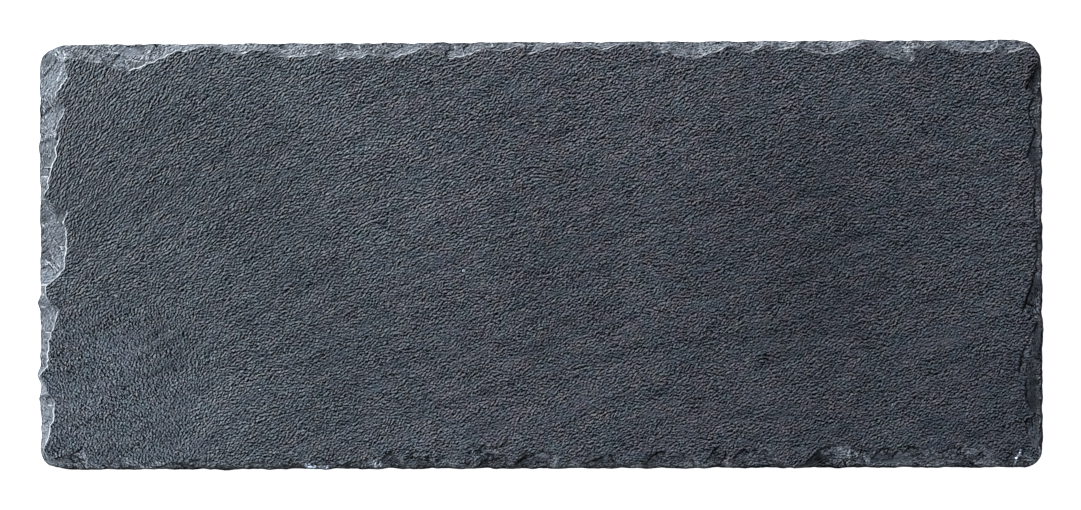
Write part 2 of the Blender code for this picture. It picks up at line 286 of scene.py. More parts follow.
# Smooth scars in the chips, in the same way. Most are darkened: painted shade where they face away
# from the light.
SMOOTH_SCARS = (
    Patch(137.4, 49.4, 1.5, 4.6, -18, -0.4),
    Patch(138.7, 36.2, 0.8, 2.6, 0, -0.4),
    Patch(137.0, 28.4, 1.9, 5.0, 0, -0.45),
    Patch(138.6, 4.0, 1.3, 5.0, 0, -0.35),
    Patch(136.9, -10.0, 1.8, 5.6, -27, -0.55),
    Patch(138.3, -24.0, 1.7, 6.5, 0, -0.4),
    Patch(136.9, -38.0, 2.4, 7.4, 0, -0.35),
    Patch(136.7, -50.0, 2.2, 4.4, 0, 0.2),
    Patch(16.0, -56.9, 1.8, 1.4, 20, -0.5),
    Patch(96.5, -56.4, 7.0, 1.9, 0, -0.35),
    Patch(76.0, -57.0, 3.6, 1.8, 0, -0.3),
    Patch(-113.5, 57.4, 5.0, 2.4, 0, -0.12),
)

# Small marks on the face, in millimetres: bright grains of mica, painted as glints, and dark pits, as
# middle and half width, and fine scratches and cracks, as their two ends and half width. Last comes the
# change of tone.
Spot = namedtuple("Spot", "x y half_width change")
SPOTS = (
    Spot(-21.5, -4.4, 0.42, 6.0),
    Spot(18.3, -22.9, 0.25, 2.5),
    Spot(-4.1, -36.6, 0.25, 2.2),
    Spot(26.7, -36.3, 0.25, 2.2),
    Spot(7.9, -36.3, 0.22, 1.8),
    Spot(21.6, -36.6, 0.22, 1.8),
    Spot(-78.0, -37.5, 0.25, 2.2),
    Spot(-106.3, -48.1, 0.25, 1.8),
    Spot(61.7, -49.5, 0.25, 2.4),
    Spot(93.3, -31.9, 0.25, 2.2),
    Spot(97.8, -41.7, 0.25, 2.2),
    Spot(111.8, -52.3, 0.25, 2.2),
    Spot(-129.3, -55.9, 0.55, -0.85),
    Spot(-130.7, -56.8, 0.5, -0.8),
    Spot(131.1, 56.6, 0.6, -0.8),
)
Line = namedtuple("Line", "x_from y_from x_to y_to half_width change")
LINES = (
    Line(-11.7, -53.7, -9.4, -51.7, 0.35, -0.9),
    Line(133.4, -54.0, 133.2, -55.6, 0.24, 9.0),
    Line(133.2, -55.6, 132.2, -56.6, 0.2, 9.0),
    Line(132.2, -56.6, 131.6, -58.7, 0.2, 9.0),
    Line(134.2, -53.4, 133.6, -56.4, 0.3, -0.7),
    Line(-84.0, 23.5, -35.5, 31.7, 0.4, 0.16),
    Line(-98.5, -13.4, -71.9, -10.3, 0.4, 0.16),
    Line(-48.1, -2.7, -13.1, 2.9, 0.4, 0.16),
)

# Cracks, scars and painted glints among the chips, held with the points: two ends in millimetres, half
# width, change of tone.
CHIP_LINES = (
    Line(-11.8, -53.3, -15.3, -53.9, 0.4, -0.6),
    Line(-15.3, -53.9, -20.1, -54.9, 0.4, -0.5),
    Line(-12.5, -54.1, -9.7, -57.5, 0.35, 0.9),
    Line(-4.1, -55.5, -7.5, -59.2, 0.5, -0.92),
    Line(133.2, -55.6, 132.2, -56.6, 0.22, 6.0),
    Line(132.2, -56.6, 131.6, -58.7, 0.22, 6.0),
    Line(134.0, -55.4, 133.0, -58.9, 0.4, -0.5),
    Line(-64.8, -58.9, -62.9, -58.9, 0.5, 12.0),
    Line(-61.6, -59.1, -59.2, -59.1, 0.4, 7.0),
    Line(-44.5, -57.1, -44.3, -59.3, 0.4, 1.0),
    Line(32.3, -55.2, 28.6, -58.0, 0.9, -0.5),
    Line(80.0, -53.0, 76.8, -56.8, 0.6, -0.5),
    Line(76.8, -56.8, 82.5, -59.1, 0.6, -0.5),
    Line(86.0, -55.1, 88.1, -55.5, 0.35, 0.6),
    Line(88.1, -55.5, 93.7, -58.8, 0.35, 0.6),
    Line(137.4, 53.0, 136.5, 49.1, 0.9, -0.5),
    Line(136.5, 49.1, 135.3, 46.5, 0.9, -0.5),
    Line(134.6, -13.4, 134.1, -15.3, 0.45, -0.7),
    Line(136.9, -15.0, 138.4, -15.6, 0.45, 1.2),
    Line(135.9, -23.6, 134.3, -26.5, 0.4, 1.3),
    Line(134.1, -27.1, 134.1, -29.6, 0.4, 0.5),
)

# The grain's slant to the long edge and how it turns: it fans out near the left end, and is tangled in
# the corner on the left at the front. All in radians and metres.
GRAIN_SLANT = radians(24)
GRAIN_TURN = radians(-40)
GRAIN_CELL = 1.2  # ripples in one patch
GRAIN_SHAKE = 1.0  # how far the grit pushes the ripples about, in ripple spacings
GRIT_SHARE = 2.2  # grains of grit to one ripple spacing
WANDER_SIZE = 7 * MM  # the ripples wander in patches of this size
FAN_SLANT = radians(34)
FAN_START = 140 * MM
FAN_LENGTH = 42 * MM
FAN_HEIGHTS = (-25 * MM, 20 * MM)
DRAWN_LENGTH = 110 * MM  # over this length from the left end the ripples run straighter
DRAWN_ORDER = 0.45
DRAWN_CALM = 0.2  # and are less pushed about
TANGLE_X = (-85 * MM, -110 * MM)
TANGLE_Y = (-6 * MM, -26 * MM)
TANGLE_SLANT = radians(115)
TANGLE_STRENGTH = -0.14  # there the ripples are weaker
TANGLE_ORDER = -0.55  # and run less one way

# Long faint streaks, less steep than the ripples: slope of a streak at the middle, how it changes for
# each metre to the right, and how far the fan near the left end lifts them, over which lengths.
STREAK_SLOPE = 0.38
STREAK_BEND = -0.55
STREAK_FAN = 68 * MM
STREAK_FAN_LENGTH = 36 * MM
STREAK_FAN_HEIGHTS = (-40 * MM, 60 * MM)
STREAK_WIDTH = 2.0 * MM
STREAK_STRETCH = (0.22, 1.0, 1.0)  # the first is the width of a streak as a share of its length
STREAK_ROUGHNESS = 0.6

# The ripples are weaker at the front than at the back, and here and there.
EVEN_HEIGHTS = (-60 * MM, 60 * MM)
EVEN_STRENGTHS = (0.77, 1.08)
CALM_WIDTH = 3.0 * MM
CALM_STRETCH = (0.2, 1.0, 1.0)
CALM_SPREAD = 1.8

STONE_SPECULAR = 0.08  # dry stone has little shine
GRIT_SHEEN = 0.2  # how much smoother the highest grit is than the lowest

# Broad clouds of light and dark: their size, how ragged they are and how strong.
CLOUD_SIZE = 38 * MM
CLOUD_ROUGHNESS = 0.55
CLOUD_STRENGTH = 0.24

# Small marks on the face fade from full to nothing over this range of half widths.
MARK_EDGE = (1.3, 0.5)

# Flecks of mica, painted as glints: the share of their places that is empty, how strong they are, and
# their colour.
FLECK_GAPS = 0.6
GLINT_STRENGTH = 0.5
GLINT_COLOUR = (0.6, 0.64, 0.68, 1.0)

# How the colour follows the relief, as painted light on what stands out and painted shade in the
# hollows: its gain above and below the middle, the darkest it gets, and the powers for red, green and
# blue, which make the painted shade bluer.
RISE_GAIN = 0.9
FALL_GAIN = 1.6
RISE_SOFTNESS = 0.45  # how early the palest and the darkest tones level off
DARKEST = 0.08
SHADE_POWERS = (2.33, 2.2, 2.02)

# The hue drifts from left to right, and wanders in small lumps.
HUE_DRIFT = (-85 * MM, 5 * MM)
LEFT_TINT = (0.955, 1.0, 0.99, 1.0)
RIGHT_TINT = (1.02, 1.0, 1.0, 1.0)
HUE_LUMPS = 3.6 * MM
HUE_SPREAD = (0.4, 0.06, 0.18)
HUE_SHARES = (0.4, 0.6)  # the lumps are fainter at the left: what is added to the right, and the rest
WHITE = (1.0, 1.0, 1.0, 1.0)

# The chips and the wall: crumbs lie in the layers of the slate, with ripples over them.
BREAK_TINT = 0.5  # the share of the tint that they take
BREAK_WANDER, BREAK_GRIT, BREAK_ORDER = 0.9, 0.6, 0.6
LAYER_STRETCH = (1.0, 1.0, 4.0)  # a crumb is four times as wide as high
CRUMB_SIZE = 1.5 * MM
CRUMB_ROUGHNESS = 0.6
CRUMB_SHARE = 0.4
UPRIGHT = (0.15, 0.4)  # faces steeper than this show the slate's layers, and no ripples

# The pale marks on ridges and rims, partly wear and partly painted light, and the painted shade in
# the grooves are broken up in small lumps. Each fades in over a range of the mark held with the points.
MARK_LUMP_SIZE = 1.3 * MM
MARK_LUMP_CHANGE = 1.5
WEAR_AND_HIGHLIGHT_RANGE = (0.45, 0.95)
GROOVE_RANGE = (-0.35, -0.95)
GROOVE_SHADE = 0.88

# The stage.
FLOOR_SIZE = 8.0
FLOOR_GAP = 0.05 * MM
KEY_PLACE = (-0.40, 0.26, 0.25)
KEY_TARGET = (-0.03, 0.0, 0.0)
FILL_COLOUR = (0.85, 0.95, 1.1, 1.0)

# The camera.
VIEW_WIDTH = 300.4 * MM  # width of what it sees at the top face
CAMERA_LENS = 300.0
SENSOR_WIDTH = 36.0
CAMERA_REACH = 100.0

# The bake map: the two faces at full width above each other, then the wall in strips.
MAP_NAME = "OFBake"
MAP_EDGE = 0.006
FACE_MAP_HEIGHT = 0.424
WALL_STRIPS = 3
STRIP_SHARE = 0.7  # the share of the height of a strip that the wall may take
WALL_TOP = 4.0 * MM  # the wall is never higher than this

HALVES = (0.5, 0.5, 0.5)
MEASURES = ("LENGTH", "DISTANCE", "DOT_PRODUCT")  # operations on vectors that give a number

Scoop = namedtuple("Scoop", "way before after reach lean curve wall fall")
Slopes = namedtuple("Slopes", "rings cuts lights ragged insets")


# ---------------------------------------------------------------------------------------------------
# Outline
# ---------------------------------------------------------------------------------------------------


def corner_point(index):
    """Where two edges would meet, at the start of one of them."""
    corner = CORNERS[index % 4]
    return Vector((corner.x, corner.y)) * MM


def edge_ends(index):
    """The two ends of the straight stretch of one edge."""
    start, end = corner_point(index), corner_point(index + 1)
    along = (end - start).normalized()
    start_off = CORNERS[index % 4].off_after * MM
    end_off = CORNERS[(index + 1) % 4].off_before * MM
    return start + along * start_off, end - along * end_off


def rounded_corner(index):
    """Points on the curve that rounds the corner at the end of edge `index`, its ends left out."""
    before, after = edge_ends(index)[1], edge_ends(index + 1)[0]
    corner = corner_point(index + 1)
    points = []
    for step in range(1, CORNER_STATIONS + 1):
        t = step / (CORNER_STATIONS + 1)
        points.append(before * (1 - t) ** 2 + corner * 2 * t * (1 - t) + after * t**2)
    return points


def smooth_outline():
    """The outline without its burrs, and for each edge the way along the outline to its start."""
    points, edge_ways, way = [], [], 0.0
    for index in range(4):
        start, end = edge_ends(index)
        if points:
            way += (start - points[-1]).length
        edge_ways.append(way)
        count = round((end - start).length / STATION_GAP)
        points += [start.lerp(end, step / count) for step in range(count + 1)]
        way += (end - start).length
        for point in rounded_corner(index):
            way += (point - points[-1]).length
            points.append(point)
    return points, edge_ways


def way_of_place(index, place, edge_ways):
    """The way along the outline to a place on one edge."""
    start, end = edge_ends(index)
    axis = index % 2
    share = (place * MM - start[axis]) / (end[axis] - start[axis])
    return edge_ways[index] + (end - start).length * share


def wave_sum(way, waves):
    """The height of some waves together, at one place along the outline."""
    return sum(height * np.sin(2 * pi * way / length) for length, height in waves)


def rag(points, relief, octaves=3, seed=0.0):
    """Random relief at each point, between about -1 and 1 times its height."""
    size, height = relief
    shift = Vector([seed * part for part in SEED_WAY])
    spots = (Vector(point) / size + shift for point in points)
    return height * np.array([noise.fractal(spot, RAG_FADE, RAG_FINENESS, octaves) for spot in spots])


def proud_height(way, edge_ways):
    """How far the outline stands out of its smooth line at one place."""
    height = wave_sum(way, OUTLINE_WAVES)
    for index, name in enumerate(EDGES):
        for burr in BURRS[name]:
            distance = abs(way - way_of_place(index, burr.place, edge_ways))
            height += burr.height * MM * max(0.0, 1 - distance / (burr.half_width * MM))
    return height


def stations():
    """Points round the outline with the burrs on them, the way to each, the edges' ways, the length."""
    points, edge_ways = smooth_outline()
    ragged = rag([point.to_3d() for point in points], OUTLINE_RAG, seed=3.0)
    placed, ways, way = [], [], 0.0
    for number, point in enumerate(points):
        following = points[(number + 1) % len(points)]
        along = (following - points[number - 1]).normalized()
        outward = Vector((along.y, -along.x))
        placed.append(point + outward * (proud_height(way, edge_ways) + ragged[number]))
        ways.append(way)
        way += (following - point).length
    return fit_to_size(np.array(placed)), np.array(ways), edge_ways, way


def fit_to_size(placed):
    """The same points, centred and brought to the slab's length and width."""
    low, high = placed.min(axis=0), placed.max(axis=0)
    return (placed - (low + high) / 2) * np.array((LENGTH, WIDTH)) / (high - low)


# ---------------------------------------------------------------------------------------------------
# Chips
# ---------------------------------------------------------------------------------------------------


def scoops(edge_ways):
    """The chips of all four edges, with their places given as the way along the outline."""
    found = []
    for index, name in enumerate(EDGES):
        forwards = index < 2
        for chip in CHIPS[name]:
            low, high = chip.low * MM, chip.high * MM
            depth = min(1.0, chip.reach * MM / FULL_DEPTH_REACH)
            found.append(
                Scoop(
                    way=way_of_place(index, chip.place, edge_ways),
                    before=low if forwards else high,
                    after=high if forwards else low,
                    reach=chip.reach * MM,
                    lean=chip.lean if forwards else -chip.lean,
                    curve=chip.curve,
                    wall=WALL_HIGH + (WALL_LOW - WALL_HIGH) * depth,
                    fall=FALLS[name],
                )
            )
    return found


def scoop_drop(scoop, way, inset, perimeter):
    """How far one chip cuts below the top face, for arrays of ways and insets."""
    offset = way - scoop.way - scoop.lean * (inset - scoop.reach)
    offset = (offset + perimeter / 2) % perimeter - perimeter / 2
    run = np.where(offset < 0, scoop.before, scoop.after)
    spread = np.clip(1 - np.abs(offset / run) ** scoop.curve, 0.0, 1.0)
    rim = scoop.reach * spread
    inside = inset < rim
    share = inset / np.where(inside, rim, 1.0)
    step = np.minimum(1.0, (rim - inset) / STEP_WIDTH)
    hollow = (1 - np.clip(share, 0.0, 1.0) ** HOLLOW_POWER) ** scoop.fall.lateness
    depth = (THICKNESS - scoop.wall) * spread**DEPTH_POWER
    return np.where(inside, depth * (scoop.fall.step * step + (1 - scoop.fall.step) * hollow), 0.0)


def edge_drop(way, inset):
    """How far the narrow broken edge cuts below the top face."""
    rim = EDGE_REACH + wave_sum(way, EDGE_WAVES)
    return (THICKNESS - WALL_HIGH) * np.clip(1 - inset / rim, 0.0, 1.0)


def drop(way, inset, chips, perimeter):
    """How far the chips and the broken edge between them cut below the top face."""
    deepest = edge_drop(way, inset)
    for scoop in chips:
        deepest = np.maximum(deepest, scoop_drop(scoop, way, inset, perimeter))
    return deepest


def rim_insets(ways, chips, perimeter):
    """How far in the rim of the chips lies at each station."""
    furthest = max(scoop.reach for scoop in chips) + 2 * RIM_STEP
    levels = np.arange(0.0, furthest, RIM_STEP)
    way, inset = np.meshgrid(ways, levels, indexing="ij")
    cut = drop(way, inset, chips, perimeter) > 0
    last = len(levels) - 1 - np.argmax(cut[:, ::-1], axis=1)
    return levels[last] + RIM_STEP


def ring_reach(rims):
    """The reach of the rings at each station: to the rim of the chips, without jumps at their ends."""
    for shift in range(1, 2 * CLIFF_STATIONS + 1):
        beside = np.maximum(np.roll(rims, shift), np.roll(rims, -shift))
        rims = np.maximum(rims, beside - RIM_TURN * STATION_GAP * shift)
    near = range(-RIM_ROUNDING, RIM_ROUNDING + 1)
    return sum(np.roll(rims, shift) for shift in near) / len(near)


def inward(placed):
    """The direction in which the rings close in from each station."""
    reach = np.array((LENGTH / 2 - ANCHOR_INSET, WIDTH / 2 - ANCHOR_INSET))
    towards = np.clip(placed, -reach, reach) - placed
    return towards / np.linalg.norm(towards, axis=1, keepdims=True)


# ---------------------------------------------------------------------------------------------------
# Surface
# ---------------------------------------------------------------------------------------------------


def lifted(flat, level):
    """Points of the plane brought to a level, one for all or one for each."""
    return np.column_stack((flat, np.broadcast_to(level, len(flat))))


def face_sag(flat):
    """How far the riven face lies below its highest level, in long low folds along the grain."""
    ahead, aside = FOLD_WAY
    along = flat[:, 0] * ahead + flat[:, 1] * aside
    across = flat[:, 1] * ahead - flat[:, 0] * aside
    folds = lifted(np.column_stack((along * FOLD_STRETCH, across)), 0.0)
    most = FACE_SWELL[1] + FACE_FOLD[1]
    sag = most + rag(folds, FACE_SWELL, 2, seed=11.0) + rag(folds, FACE_FOLD, 2, seed=23.0)
    return np.clip(sag, 0.0, 2 * most) * FOLD_SHARE


def eased(cut):
    """The cuts along one ring, with the cliffs between chips brought down to slopes."""
    for shift in range(1, CLIFF_STATIONS + 1):
        rise = CLIFF_SLOPE * STATION_GAP * shift
        cut = np.minimum(cut, np.minimum(np.roll(cut, shift), np.roll(cut, -shift)) + rise)
    return cut


def faceted(cut, flat, look):
    """The relief of small flat scars, each tilted its own way, and how light the large ones are."""
    relief, lights = 0.0, []
    for size, share in FACETS:
        spots = lifted(flat, FACET_DEPTHS * cut) / size
        middles = [noise.voronoi(Vector(spot))[1][0] for spot in spots]
        tilts = np.array([noise.cell_vector(middle) for middle in middles]) - 0.5
        offsets = spots - np.array(middles)
        slope = offsets[:, 0] * tilts[:, 0] + offsets[:, 1] * tilts[:, 1]
        relief = relief + look.facet_height * share * (FACET_TILT * slope + tilts[:, 2])
        lights.append(tilts[:, 2])
    return relief, lights[0]


def ledged(cut, flat, look, rough):
    """The cut of a chip broken into ledges along the layers of the slate."""
    points = lifted(flat, 0.0)
    height = look.ledge_height
    size, wave = LAYER_WAVE
    layers = (cut + rag(points, (size, wave * height), seed=31.0)) / height
    part = layers - np.floor(layers)
    riser = np.clip((part - RISER_START) / RISER_SHARE, 0.0, 1.0)
    strength = LEDGE_STRENGTH + rag(points, LEDGE_CHANGE, 2, seed=41.0)
    return cut + height * (riser - part) * np.clip(strength, 0.0, STRONGEST_LEDGE) * rough


def slope_rings(placed, ways, rims, directions, chips, perimeter, look, rough):
    """Rings over the chips, from the outline to just short of the rim.

    Rough is 1 where the chips have their full ledges and grain.
    """
    feet = np.maximum(rims - STEP_WIDTH, FOOT_SHARE * rims)
    insets = [feet * number / (SLOPE_RINGS - 1) for number in range(SLOPE_RINGS)]
    insets += [feet + (rims - feet) * share for share in STEP_SHARES]
    ragged = rag(lifted(placed, 0.0), RIM_RAG, seed=5.0)
    rings, cuts, lights = [], [], []
    for inset in insets:
        share = inset / rims
        flat = placed + directions * (inset + ragged * share**2)[:, None]
        plain = eased(drop(ways, inset, chips, perimeter))
        cuts.append(plain)
        cut = ledged(plain, flat, look, rough)
        scars, light = faceted(cut, flat, look)
        lights.append(light * (plain > 0))
        grain = rag(lifted(flat, cut), (CHIP_GRAIN_SIZE, look.chip_grain), seed=51.0)
        grain = (rough * grain + scars) * np.minimum(1.0, plain / FULL_GRAIN_CUT)
        level = THICKNESS - face_sag(flat) - np.maximum(cut * (plain > 0) + grain, 0.0)
        rings.append(lifted(flat, np.maximum(level, LOWEST_SLOPE)))
    return Slopes(rings, cuts, lights, ragged, insets)


def face_rings(placed, rims, ragged, directions):
    """Rings over the border of the top face, from the rim of the chips to the net."""
    rings = []
    for share in (0.0, *FACE_SHARES):
        inset = rims + ragged + (BORDER_INSET - rims - ragged) * share
        flat = placed + directions * inset[:, None]
        rings.append(lifted(flat, THICKNESS - face_sag(flat)))
    return rings


def wall_rings(placed, directions, lip):
    """Rings up the wall, from the underside to just below its lip."""
    rings = []
    for share in WALL_SHARES:
        level = lip * share
        dent = np.abs(rag(lifted(placed, level), WALL_RAG, seed=61.0)) * (share > 0)
        rings.append(lifted(placed + directions * dent[:, None], level))
    return rings


def net_points(border, spacing):
    """Points of an even net inside a ring, a little shaken, at a distance from the ring."""
    low, high = border.min(axis=0), border.max(axis=0)
    shaker = np.random.default_rng(NET_SEED)
    end_x, end_y = high - NET_END * spacing
    found = []
    for number, y in enumerate(np.arange(low[1] + spacing, end_y, spacing * NET_ROW)):
        columns = np.arange(low[0] + spacing * (1 + number % 2 / 2), end_x, spacing)
        found.append(np.column_stack((columns, np.full(len(columns), y))))
    flat = np.concatenate(found)
    flat += shaker.uniform(-NET_SHAKE, NET_SHAKE, flat.shape) * spacing
    return flat[inside_ring(flat, border, NET_MARGIN * spacing)]


def inside_ring(flat, border, margin):
    """Which points lie inside a ring that runs round anticlockwise, by at least a margin."""
    inside = np.ones(len(flat), bool)
    ahead = np.roll(border, -1, axis=0) - np.roll(border, 1, axis=0)
    ahead /= np.linalg.norm(ahead, axis=1, keepdims=True)
    for start, along in zip(border, ahead):
        offset = flat - start
        near = (np.abs(offset) < NEAR_MARGINS * margin).all(axis=1)
        inside &= ~near | (offset[:, 1] * along[0] - offset[:, 0] * along[1] > margin)
    return inside


def fill_ring(border, spacing):
    """Net points inside a ring, and triangles over the ring's points followed by the net's."""
    inner = net_points(border, spacing)
    count = len(border)
    edges = [(number, (number + 1) % count) for number in range(count)]
    corners = [Vector(point) for point in np.concatenate((border, inner))]
    made = delaunay_2d_cdt(corners, edges, [], 1, NET_TOLERANCE)  # 1: only what lies inside the edges
    points, triangles, origins = made[0], made[2], made[3]
    if len(points) != len(corners):
        raise RuntimeError("the net over the face has crossing edges")
    source = [origin[0] for origin in origins]
    return inner, [[source[corner] for corner in triangle] for triangle in triangles]


def ridge_marks(rings):
    """How sharply each point of the slopes stands above its neighbours, or below them if negative."""
    levels = np.array([ring[:, 2] for ring in rings])
    marks = levels - (np.roll(levels, 1, axis=1) + np.roll(levels, -1, axis=1)) / 2
    marks[1:-1] += levels[1:-1] - (levels[:-2] + levels[2:]) / 2
    return marks / RIDGE_HEIGHT


def facing_key_light(ring, reach, turn=PALE_TURN):
    """1 where a ring faces the key light, on whose side rims are painted light, -1 where it faces away.

    Which way it faces is evened out over `reach` stations to each side.
    """
    along = np.roll(ring, -1, axis=0) - np.roll(ring, 1, axis=0)
    smooth = sum(np.roll(along, shift, axis=0) for shift in range(-reach, reach + 1))
    smooth /= np.linalg.norm(smooth, axis=1, keepdims=True)
    return np.clip(turn * (smooth[:, 1] * KEY_LIGHT_SIDE[0] - smooth[:, 0] * KEY_LIGHT_SIDE[1]), -1.0, 1.0)


def slope_marks(slopes, shaded_side, rim):
    """The wear-and-light marks of the rings over the chips and of the rim: wear and painted light on
    the ridges and the rim, and painted shade in the grooves, at the foot and on rims facing away.
    """
    grooves, reach, depth = (
        np.interp(shaded_side, (0.0, 1.0), pair) for pair in (GROOVE_SHARES, FOOT_SHADE_REACH, FOOT_SHADE)
    )
    # On the shaded side the pale ridges, partly painted highlight, are cut down, and the grooves take
    # more painted shade.
    highest = np.clip(RIDGE_MARK - RIDGE_SHADE_LOSS * shaded_side, 0.0, 1.0)
    marks = np.minimum(ridge_marks(slopes.rings), highest)
    marks = list(np.where(marks < 0, marks * grooves, marks))
    # Painted shade darkens the foot of the chips.
    for number, inset in enumerate(slopes.insets):
        marks[number] = marks[number] - depth * np.clip(1 - inset / reach, 0.0, 1.0)
    # The rim is painted light where it faces the key light and painted shade where it faces away.
    facing = RIM_MARK * facing_key_light(rim[:, :2], FACING_STATIONS, 1.0)
    for number in range(len(marks) - len(STEP_SHARES) - 1, len(marks)):
        marks[number] = np.minimum(marks[number], facing)
    marks[-1] = facing
    return marks, facing


def patch_share(patch, places, plateau=1.0):
    """How strong a patch is at each place: 1 at its middle, falling to 0, later with more plateau."""
    offset = places - (patch.x, patch.y)
    turn = radians(patch.slant)
    along = offset[:, 0] * cos(turn) + offset[:, 1] * sin(turn)
    across = offset[:, 1] * cos(turn) - offset[:, 0] * sin(turn)
    near = np.clip(plateau * (1 - np.hypot(along / patch.reach_x, across / patch.reach_y)), 0.0, 1.0)
    return near * near * (3 - 2 * near)


def smoothed(rough, flat):
    """How rough the chips are at each point, less in the smooth scars."""
    for scar in SMOOTH_SCARS:
        rough = rough * (1 - SCAR_SMOOTHNESS * patch_share(scar, flat[:, :2] / MM, SCAR_PLATEAU))
    return rough


def tone_at(flat):
    """How light the stone is at each point, round 1."""
    tone = np.ones(len(flat))
    places = flat[:, :2] / MM
    for patch in PATCHES:
        tone *= 1 + patch.change * patch_share(patch, places)
    for scar in SMOOTH_SCARS:
        tone *= 1 + scar.change * patch_share(scar, places, SCAR_PLATEAU)
    for line in CHIP_LINES:
        start = np.array((line.x_from, line.y_from))
        along = np.array((line.x_to, line.y_to)) - start
        share = np.clip((places - start) @ along / (along @ along), 0.0, 1.0)
        away = np.linalg.norm(places - start - share[:, None] * along, axis=1)
        tone *= 1 + line.change * np.clip(LINE_EDGE - away / line.half_width, 0.0, 1.0)
    return tone


RIVEN, BROKEN = 0, 1  # the slab's two finishes, as the order of its materials
TOP, WALL, UNDERSIDE = 0, 1, 2  # the parts of the bake map


class SlabNet:
    """The slab's points and faces, collected ring by ring."""

    def __init__(self, size):
        self.size = size  # points in a ring
        self.points, self.worn, self.tones, self.rough, self.count = [], [], [], [], 0
        self.faces, self.finishes, self.parts, self.places = [], [], [], []

    def add_points(self, points, worn=0.0, light=1.0, rough=1.0):
        """Adds points with their marks, and gives the number of the first."""
        first = self.count
        self.points.append(points)
        self.worn.append(np.broadcast_to(worn, len(points)))
        self.tones.append(tone_at(points) * light)
        self.rough.append(np.broadcast_to(rough, len(points)))
        self.count += len(points)
        return first

    def add_face(self, corners, finish, part, places):
        self.faces.append(corners)
        self.finishes.append(finish)
        self.parts.append(part)
        self.places.append(places)

    def add_band(self, lower, upper, broken, part):
        """Four-sided faces between two rings, with one finish or one for each face."""
        broken = np.broadcast_to(broken, self.size)
        for number in range(self.size):
            following = (number + 1) % self.size
            corners = (lower + number, lower + following, upper + following, upper + number)
            finish = BROKEN if broken[number] else RIVEN
            self.add_face(corners, finish, part, (number, number + 1, number + 1, number))

    def add_fill(self, ring, inner, triangles, part):
        """Triangles over a ring and the net inside it."""
        for triangle in triangles:
            corners = [
                (ring if corner < self.size else inner - self.size) + corner for corner in triangle
            ]
            if part == UNDERSIDE:
                corners.reverse()
            self.add_face(tuple(corners), RIVEN, part, (0, 0, 0))


def around(marks):
    """Marks of the faces of a band, from the marks of the points on the ring before it."""
    return marks | np.roll(marks, -1)


def slab_net(look):
    """The whole slab: wall, chips, top face and underside."""
    placed, ways, edge_ways, perimeter = stations()
    chips = scoops(edge_ways)
    rims = ring_reach(rim_insets(ways, chips, perimeter))
    directions = inward(placed)
    # The side that faces away from the key light, where the chips take more painted shade.
    shaded_side = (1 - facing_key_light(placed, CORNER_STATIONS // 2)) / 2
    rough = np.interp(facing_key_light(placed, CORNER_STATIONS // 2, 1.0), *CHIP_ROUGHNESS)
    slopes = slope_rings(placed, ways, rims, directions, chips, perimeter, look, rough)
    borders = face_rings(placed, rims, slopes.ragged, directions)
    walls = wall_rings(placed, directions, slopes.rings[0][:, 2])

    net = SlabNet(len(placed))
    firsts = [net.add_points(ring) for ring in walls]
    marks, rim = slope_marks(slopes, shaded_side, borders[0])
    scar_tones = np.interp(shaded_side, (0.0, 1.0), SCAR_TONES)
    for ring, mark, light in zip(slopes.rings, marks, slopes.lights):
        firsts.append(net.add_points(ring, mark, 1 + scar_tones * light, smoothed(rough, ring)))
    firsts += [net.add_points(ring, rim if ring is borders[0] else 0.0) for ring in borders]
    broken = [True] * len(walls) + [around(cut > 0) for cut in slopes.cuts] + [False] * len(borders)
    for number, (lower, upper) in enumerate(zip(firsts, firsts[1:])):
        net.add_band(lower, upper, broken[number], WALL if number < len(walls) else TOP)

    inner, triangles = fill_ring(borders[-1][:, :2], FACE_NET)
    first = net.add_points(lifted(inner, THICKNESS - face_sag(inner)))
    net.add_fill(firsts[-1], first, triangles, TOP)
    inner, triangles = fill_ring(walls[0][:, :2], UNDERSIDE_NET)
    hollow = rag(lifted(inner, 0.0), UNDERSIDE_SWELL, 2, seed=71.0)
    first = net.add_points(lifted(inner, np.maximum(hollow, 0.0)))
    net.add_fill(firsts[0], first, triangles, UNDERSIDE)
    return net


def lay_out_map(mesh, net):
    """Lays the top face, the underside and the wall out on one map."""
    corners = np.concatenate(net.faces)
    sides = [len(face) for face in net.faces]
    parts = np.repeat(net.parts, sides)
    flat = np.concatenate(net.points)[corners]
    across = MAP_EDGE + (1 - 2 * MAP_EDGE) * (flat[:, 0] / LENGTH + 0.5)
    up = MAP_EDGE + (flat[:, 1] / WIDTH + 0.5) * FACE_MAP_HEIGHT
    spots = np.column_stack((across, np.where(parts == UNDERSIDE, 1 - up, up)))

    wall = parts == WALL
    places = np.concatenate(net.places)[wall] / net.size * WALL_STRIPS
    strips = np.repeat([face[0] for face in net.places], sides)[wall] * WALL_STRIPS // net.size
    room = (1 - 2 * (2 * MAP_EDGE + FACE_MAP_HEIGHT)) / WALL_STRIPS
    spots[wall, 0] = MAP_EDGE + (1 - 2 * MAP_EDGE) * (places - strips)
    risen = STRIP_SHARE * flat[wall, 2] / WALL_TOP
    spots[wall, 1] = 2 * MAP_EDGE + FACE_MAP_HEIGHT + room * (strips + risen)
    layer = mesh.uv_layers.new(name=MAP_NAME)
    layer.uv.foreach_set("vector", spots.astype(np.float32).ravel())


